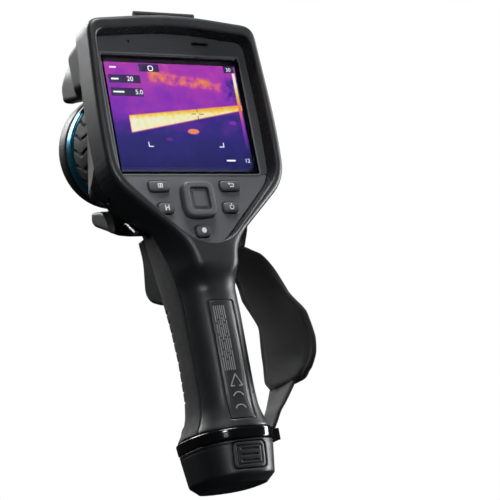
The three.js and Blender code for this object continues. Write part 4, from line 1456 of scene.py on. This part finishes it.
def stroke(start, end, width):
    """A straight bar between two points."""
    along = np.array(end, float) - np.array(start, float)
    side = np.array([-along[1], along[0]]) / np.linalg.norm(along) * width / 2
    return [np.array(start) - side, np.array(end) - side, np.array(end) + side, np.array(start) + side]


def make_label():
    rect = round_rect(14.4, 65, 1.0, 0, 65.5)

    def field(x, y, z):
        surface = HANDLE(x, y, z)
        body = common(flat_distance(rect, x, z), surface + 0.25, 0.15)
        return np.maximum(np.maximum(body, -(surface + 0.65)), y)

    piece = skin("label_film", field, [-7.2, -25, 33], [7.2, -20, 98], 0.3)
    dress(piece, LABEL, "camera", ["label_plate"])
    marks = []
    for column, x in enumerate(np.linspace(-5.2, 0.8, 6)):
        top = 95.0
        for size in np.roll([9.2, 5.6, 11.0, 7.4], column):
            marks.append(back_patch("line", round_rect(0.4, size, 0, x, top - size / 2), -0.12))
            top -= size + 0.9
    for start, end in (((-3.6, 50.6), (3.6, 50.6)), ((3.6, 50.6), (0, 57.0)), ((0, 57.0), (-3.6, 50.6))):
        marks.append(back_patch("mark", stroke(start, end, 0.6), -0.12))
    for z in (44.6, 37.8):
        arc = [[3.0 * math.cos(t), z + 2.6 * math.sin(t)] for t in np.linspace(0.2, math.pi - 0.2, 8)]
        for start, end in zip(arc, arc[1:]):
            marks.append(back_patch("mark", stroke(start, end, 0.6), -0.12))
    dress(merge("label_marks", marks), PRINT, "camera")


# ---- hand strap ----
def spline(points, count):
    """A smooth curve through the points (Catmull-Rom), evenly sampled."""
    p = np.array(points, float)
    ends = np.concatenate([[2 * p[0] - p[1]], p, [2 * p[-1] - p[-2]]])
    line = []
    for i in range(len(p) - 1):
        a, b, c, d = ends[i:i + 4]
        for t in np.linspace(0, 1, 24, endpoint=False):
            line.append(0.5 * (2 * b + (c - a) * t + (2 * a - 5 * b + 4 * c - d) * t**2
                               + (3 * b - a - 3 * c + d) * t**3))
    line = np.array([*line, p[-1]])
    run = np.concatenate([[0], np.cumsum(np.linalg.norm(np.diff(line, axis=0), axis=1))])
    at = np.linspace(0, run[-1], count)
    return np.stack([np.interp(at, run, line[:, i]) for i in range(p.shape[1])], 1)


PAD_LINE = [[38.4, 139.6], [45.5, 120], [48, 95], [46.5, 70], [40.6, 50.2]]
PAD_REAR = [[139.6, 8], [130, -3.5], [117, -11], [103, -18], [88, -29], [72, -34.3], [63, -34.8],
            [56, -33.5], [50.2, -29]]
PAD_FORE = [[139.6, 27], [128, 30.5], [112, 30.8], [93, 23], [74, 21.5], [58, 18.5], [50.2, 11]]


def make_pad():
    """A crowned pad: two faces that swell between a sewn edge, with a seam let in all round."""
    rows, columns = 64, 40
    middle = spline(PAD_LINE, rows)
    along = np.gradient(middle, axis=0)
    along /= np.linalg.norm(along, axis=1, keepdims=True)
    outward = np.stack([-along[:, 1], along[:, 0]], 1)
    outward *= np.sign(outward[rows // 2, 0])
    rear = np.interp(-middle[:, 1], [-z for z, _ in PAD_REAR], [y for _, y in PAD_REAR])
    fore = np.interp(-middle[:, 1], [-z for z, _ in PAD_FORE], [y for _, y in PAD_FORE])
    from_top = np.clip(np.linspace(0, 1, rows) * 9, 0, math.pi / 2)
    from_foot = np.clip(np.linspace(1, 0, rows) * 9, 0, math.pi / 2)
    ends = np.sin(from_top) * np.sin(from_foot)
    centre = (rear + fore) / 2
    half = (fore - rear) / 2 * (0.80 + 0.20 * ends)
    loops = []
    for i in range(rows):
        s = i / (rows - 1)
        edge_s = min(s, 1 - s) * 2
        loop = []
        for j in range(columns):
            t = 2 * math.pi * j / columns
            across = math.copysign(abs(math.cos(t)) ** 0.72, math.cos(t))
            rise = math.copysign(abs(math.sin(t)) ** 0.85, math.sin(t))
            thick = 3.2 * min(1.0, (edge_s * 9) ** 0.55 + 0.25)
            inset = (1 - abs(across)) * half[i]
            seam = 1.3 * math.exp(-(((inset - 4.2) / 0.9) ** 2)) * max(-1.0, min(1.0, rise * 4))
            lift = rise * thick - seam
            y = centre[i] + across * half[i]
            loop.append([middle[i, 0] + outward[i, 0] * lift, y, middle[i, 1] + outward[i, 1] * lift])
        loops.append(np.array(loop))
    piece = rings("strap_pad_cover", loops, closed=False, capped=True)
    puff(piece)
    subdivide(piece, 1)
    dress(piece, PAD, "camera", ["strap_pad"])


def puff(piece, pressure=3.0, cap=0.9):
    """Swells the pad a little with the cloth solver, then keeps each point near where it was."""
    rest = np.array([v.co for v in piece.data.vertices])
    cloth = piece.modifiers.new("cloth", "CLOTH")
    cloth.settings.use_pressure = True
    cloth.settings.uniform_pressure_force = pressure
    cloth.settings.effector_weights.gravity = 0
    cloth.settings.quality = 5
    cloth.settings.mass = 0.2
    cloth.settings.tension_stiffness = 40
    cloth.settings.bending_stiffness = 4
    scene = bpy.context.scene
    for moment in range(1, 13):
        scene.frame_set(moment)
    evaluated = piece.evaluated_get(bpy.context.evaluated_depsgraph_get())
    moved = np.array([v.co for v in evaluated.data.vertices])
    piece.modifiers.clear()
    scene.frame_set(1)
    if moved.shape != rest.shape or not np.isfinite(moved).all():
        return
    shift = moved - rest
    size = np.linalg.norm(shift, axis=1, keepdims=True)
    shift *= np.minimum(1, cap * MM / np.maximum(size, 1e-9))
    piece.data.vertices.foreach_set("co", (rest + shift).ravel())
    piece.data.update()


def band_mesh(name, line, near, far, thick, columns=14, ripple=0.12):
    """Flat webbing along a line in x and z, from depth near to far, with rounded selvedges."""
    along = np.gradient(line, axis=0)
    along /= np.linalg.norm(along, axis=1, keepdims=True)
    outward = np.stack([-along[:, 1], along[:, 0]], 1)
    loops = []
    rows = len(line)
    for i in range(rows):
        lo = near[i] if hasattr(near, "__len__") else near
        hi = far[i] if hasattr(far, "__len__") else far
        ys = np.linspace(lo, hi, columns)
        bulge = thick / 2 * np.sqrt(np.clip(1 - (2 * (np.arange(columns) / (columns - 1)) - 1) ** 8, 0.04, 1))
        weave = ripple * (np.arange(columns) % 2) * (0.5 + 0.5 * math.cos(i * math.pi))
        lift = bulge + weave
        top = [[*(line[i] + outward[i] * b), y] for y, b in zip(ys, lift)]
        low = [[*(line[i] - outward[i] * b), y] for y, b in zip(ys[::-1], lift[::-1])]
        loops.append(np.array(top + low)[:, [0, 2, 1]])
    return rings(name, loops, closed=False, capped=True)


def make_strap():
    make_pad()
    upper = spline([[24.6, 156.4], [32, 160], [40, 158.5], [43.5, 151], [40.6, 141.4], [39.0, 137.6]], 60)
    folded = band_mesh("upper_webbing", upper, 6, 27, 2.4)
    dress(folded, WEBBING, "camera", ["strap_upper_webbing"])
    count = 64
    lower = spline([[40.8, 53.0], [38.6, 48.4], [35.4, 42.6], [32.6, 38.4], [30.4, 33], [28.9, 29.6]], count)
    near = np.interp(np.linspace(0, 1, count), [0, 0.4, 1], [-19, -13.5, -6.2])
    far = np.interp(np.linspace(0, 1, count), [0, 0.3, 1], [11.2, 10.4, 6.2])
    tail = band_mesh("lower_webbing", lower, near, far, 2.2)
    dress(tail, WEBBING, "camera", ["strap_lower_webbing"])
    make_buckle()
    for node in ("strap_bar_left", "strap_bar_right"):
        bevelled(node, 0.3).data.materials[0] = STEEL
    bevelled("strap_lower_lug", 0.5, 3).data.materials[0] = GLOSS


def make_buckle():
    low, high = node_box("strap_buckle")
    middle = (low + high) / 2
    lean = math.radians(-32)
    frame_plan = round_rect(24, 6, 2.4)
    opening = round_rect(20.8, 3.0, 1.0)

    def field(x, y, z):
        dx, dz = x - middle[0], z - middle[2]
        a = dx * math.cos(lean) + dz * -math.sin(lean)
        b = dx * math.sin(lean) + dz * math.cos(lean)
        body = common(flat_distance(frame_plan, y - middle[1], a), np.abs(b) - 1.5, 0.8)
        return cut(body, flat_distance(opening, y - middle[1], a), 0.5)

    piece = skin("webbing_buckle", field, low, high, 0.3)
    dress(piece, BLACK_METAL, "camera", ["strap_buckle"])


# ---- what is inside keeps its CAD shape ----
def make_inside():
    for node, material in (
        ("display_frame", STEEL), ("main_board", BOARD), ("speaker", BLACK_METAL), ("microphone", STEEL),
        ("detector_core", BLACK_METAL), ("lens_mount", SHELL_DARK),
    ):
        bevelled(node, 0.2).data.materials[0] = material
    for i in range(1, 5):
        bevelled(f"board_screw_{i}", 0.1).data.materials[0] = STEEL


# ---- camera, light, floor ----
CAMERA_PLACE = (-0.41526, -0.72778, -0.09847)
CAMERA_AZIMUTH = math.radians(31.95)
CAMERA_RISE = math.radians(15.11)
CAMERA_ROLL = math.radians(-10.87)
FOCAL_MM = 112.57
FLOOR_Z = -0.14


def view_axes():
    """The camera's right, up and backward directions."""
    back = Vector((-math.sin(CAMERA_AZIMUTH) * math.cos(CAMERA_RISE),
                   -math.cos(CAMERA_AZIMUTH) * math.cos(CAMERA_RISE), -math.sin(CAMERA_RISE)))
    right = Vector((0, 0, 1)).cross(back).normalized()
    up = back.cross(right)
    c, s = math.cos(CAMERA_ROLL), math.sin(CAMERA_ROLL)
    return right * c + up * s, up * c - right * s, back


def make_camera():
    right, up, back = view_axes()
    data = bpy.data.cameras.new("camera")
    data.sensor_width = 36
    data.lens = FOCAL_MM
    data.clip_start = 0.01
    data.clip_end = 50
    camera = bpy.data.objects.new("camera", data)
    camera.rotation_mode = "QUATERNION"
    camera.location = CAMERA_PLACE
    camera.rotation_quaternion = Matrix((right, up, back)).transposed().to_quaternion()
    bpy.context.scene.collection.objects.link(camera)
    bpy.context.scene.camera = camera


def softbox(name, across, above, toward, width, height, watts, target=(0, 0.02, 0.15), spread=180):
    """An area light placed in the camera's own directions and aimed at the object."""
    right, up, back = view_axes()
    data = bpy.data.lights.new(name, "AREA")
    data.shape = "RECTANGLE"
    data.size, data.size_y = width, height
    data.energy = watts
    data.spread = math.radians(spread)
    light = bpy.data.objects.new(name, data)
    aim = Vector(target)
    light.location = aim + right * across + up * above + back * toward
    light.rotation_mode = "QUATERNION"
    light.rotation_quaternion = (light.location - aim).to_track_quat("Z", "Y")
    bpy.context.scene.collection.objects.link(light)


WORLD_STRENGTH = 0.015
FLOOR_GLOW = 0.85


def make_world():
    """A white backdrop for the camera, and a dim cool light from all round for the object."""
    scene = bpy.context.scene
    scene.view_settings.view_transform = "Standard"
    world = bpy.data.worlds.new("studio")
    scene.world = world
    world.use_nodes = True
    tree = world.node_tree
    nodes = tree.nodes
    seen = nodes["Background"]
    seen.inputs["Color"].default_value = (1, 1, 1, 1)
    seen.inputs["Strength"].default_value = 1.0
    lit = nodes.new("ShaderNodeBackground")
    lit.inputs["Color"].default_value = (0.92, 0.95, 1.0, 1)
    lit.inputs["Strength"].default_value = WORLD_STRENGTH
    path = nodes.new("ShaderNodeLightPath")
    mixed = nodes.new("ShaderNodeMixShader")
    tree.links.new(path.outputs["Is Camera Ray"], mixed.inputs[0])
    tree.links.new(lit.outputs[0], mixed.inputs[1])
    tree.links.new(seen.outputs[0], mixed.inputs[2])
    tree.links.new(mixed.outputs[0], nodes["World Output"].inputs["Surface"])


def make_floor():
    """A pale floor that glows a little and neither lights the object nor shows in it."""
    floor = plate_mesh("floor", round_rect(6000, 6000, 0), -1, 0)
    floor.rotation_euler = (math.pi / 2, 0, 0)
    floor.location = (0, 0, FLOOR_Z)
    paper = Paint("pale_floor")
    tone = paper.mix(paper.noise(3, 3), (0.80, 0.80, 0.80), (0.84, 0.84, 0.84))
    floor.data.materials.append(paper.set(Base_Color=tone, Roughness=0.8, Emission_Color=tone,
                                          Emission_Strength=FLOOR_GLOW))
    floor.visible_diffuse = False
    floor.visible_glossy = False


def make_lights():
    softbox("key_left", -0.9, 0.6, -0.7, 0.5, 0.8, 1.7, (-0.02, 0.02, 0.22), 50)
    softbox("rim_right", 1.0, 0.05, -0.30, 0.25, 1.3, 3.9, (0.02, 0.0, 0.12), 70)
    softbox("top", 0.05, 1.2, 0.0, 0.9, 0.5, 2.0, (0, 0.02, 0.24), 40)
    softbox("front_fill", 0.25, 0.45, 1.3, 0.5, 0.5, 0.30, (0.0, -0.02, 0.225), 17)
    softbox("lens_side", -0.3, 0.5, -1.3, 1.2, 1.0, 1.6, (0, 0.06, 0.18), 60)


make_camera()
make_housing()
make_display()
make_marks()
make_keypad_plate()
make_keys()
make_front_shell()
make_brow()
make_lens()
make_hatch()
make_grip()
make_trigger()
make_collar()
make_battery()
make_label()
make_strap()
make_inside()
make_world()
make_floor()
make_lights()
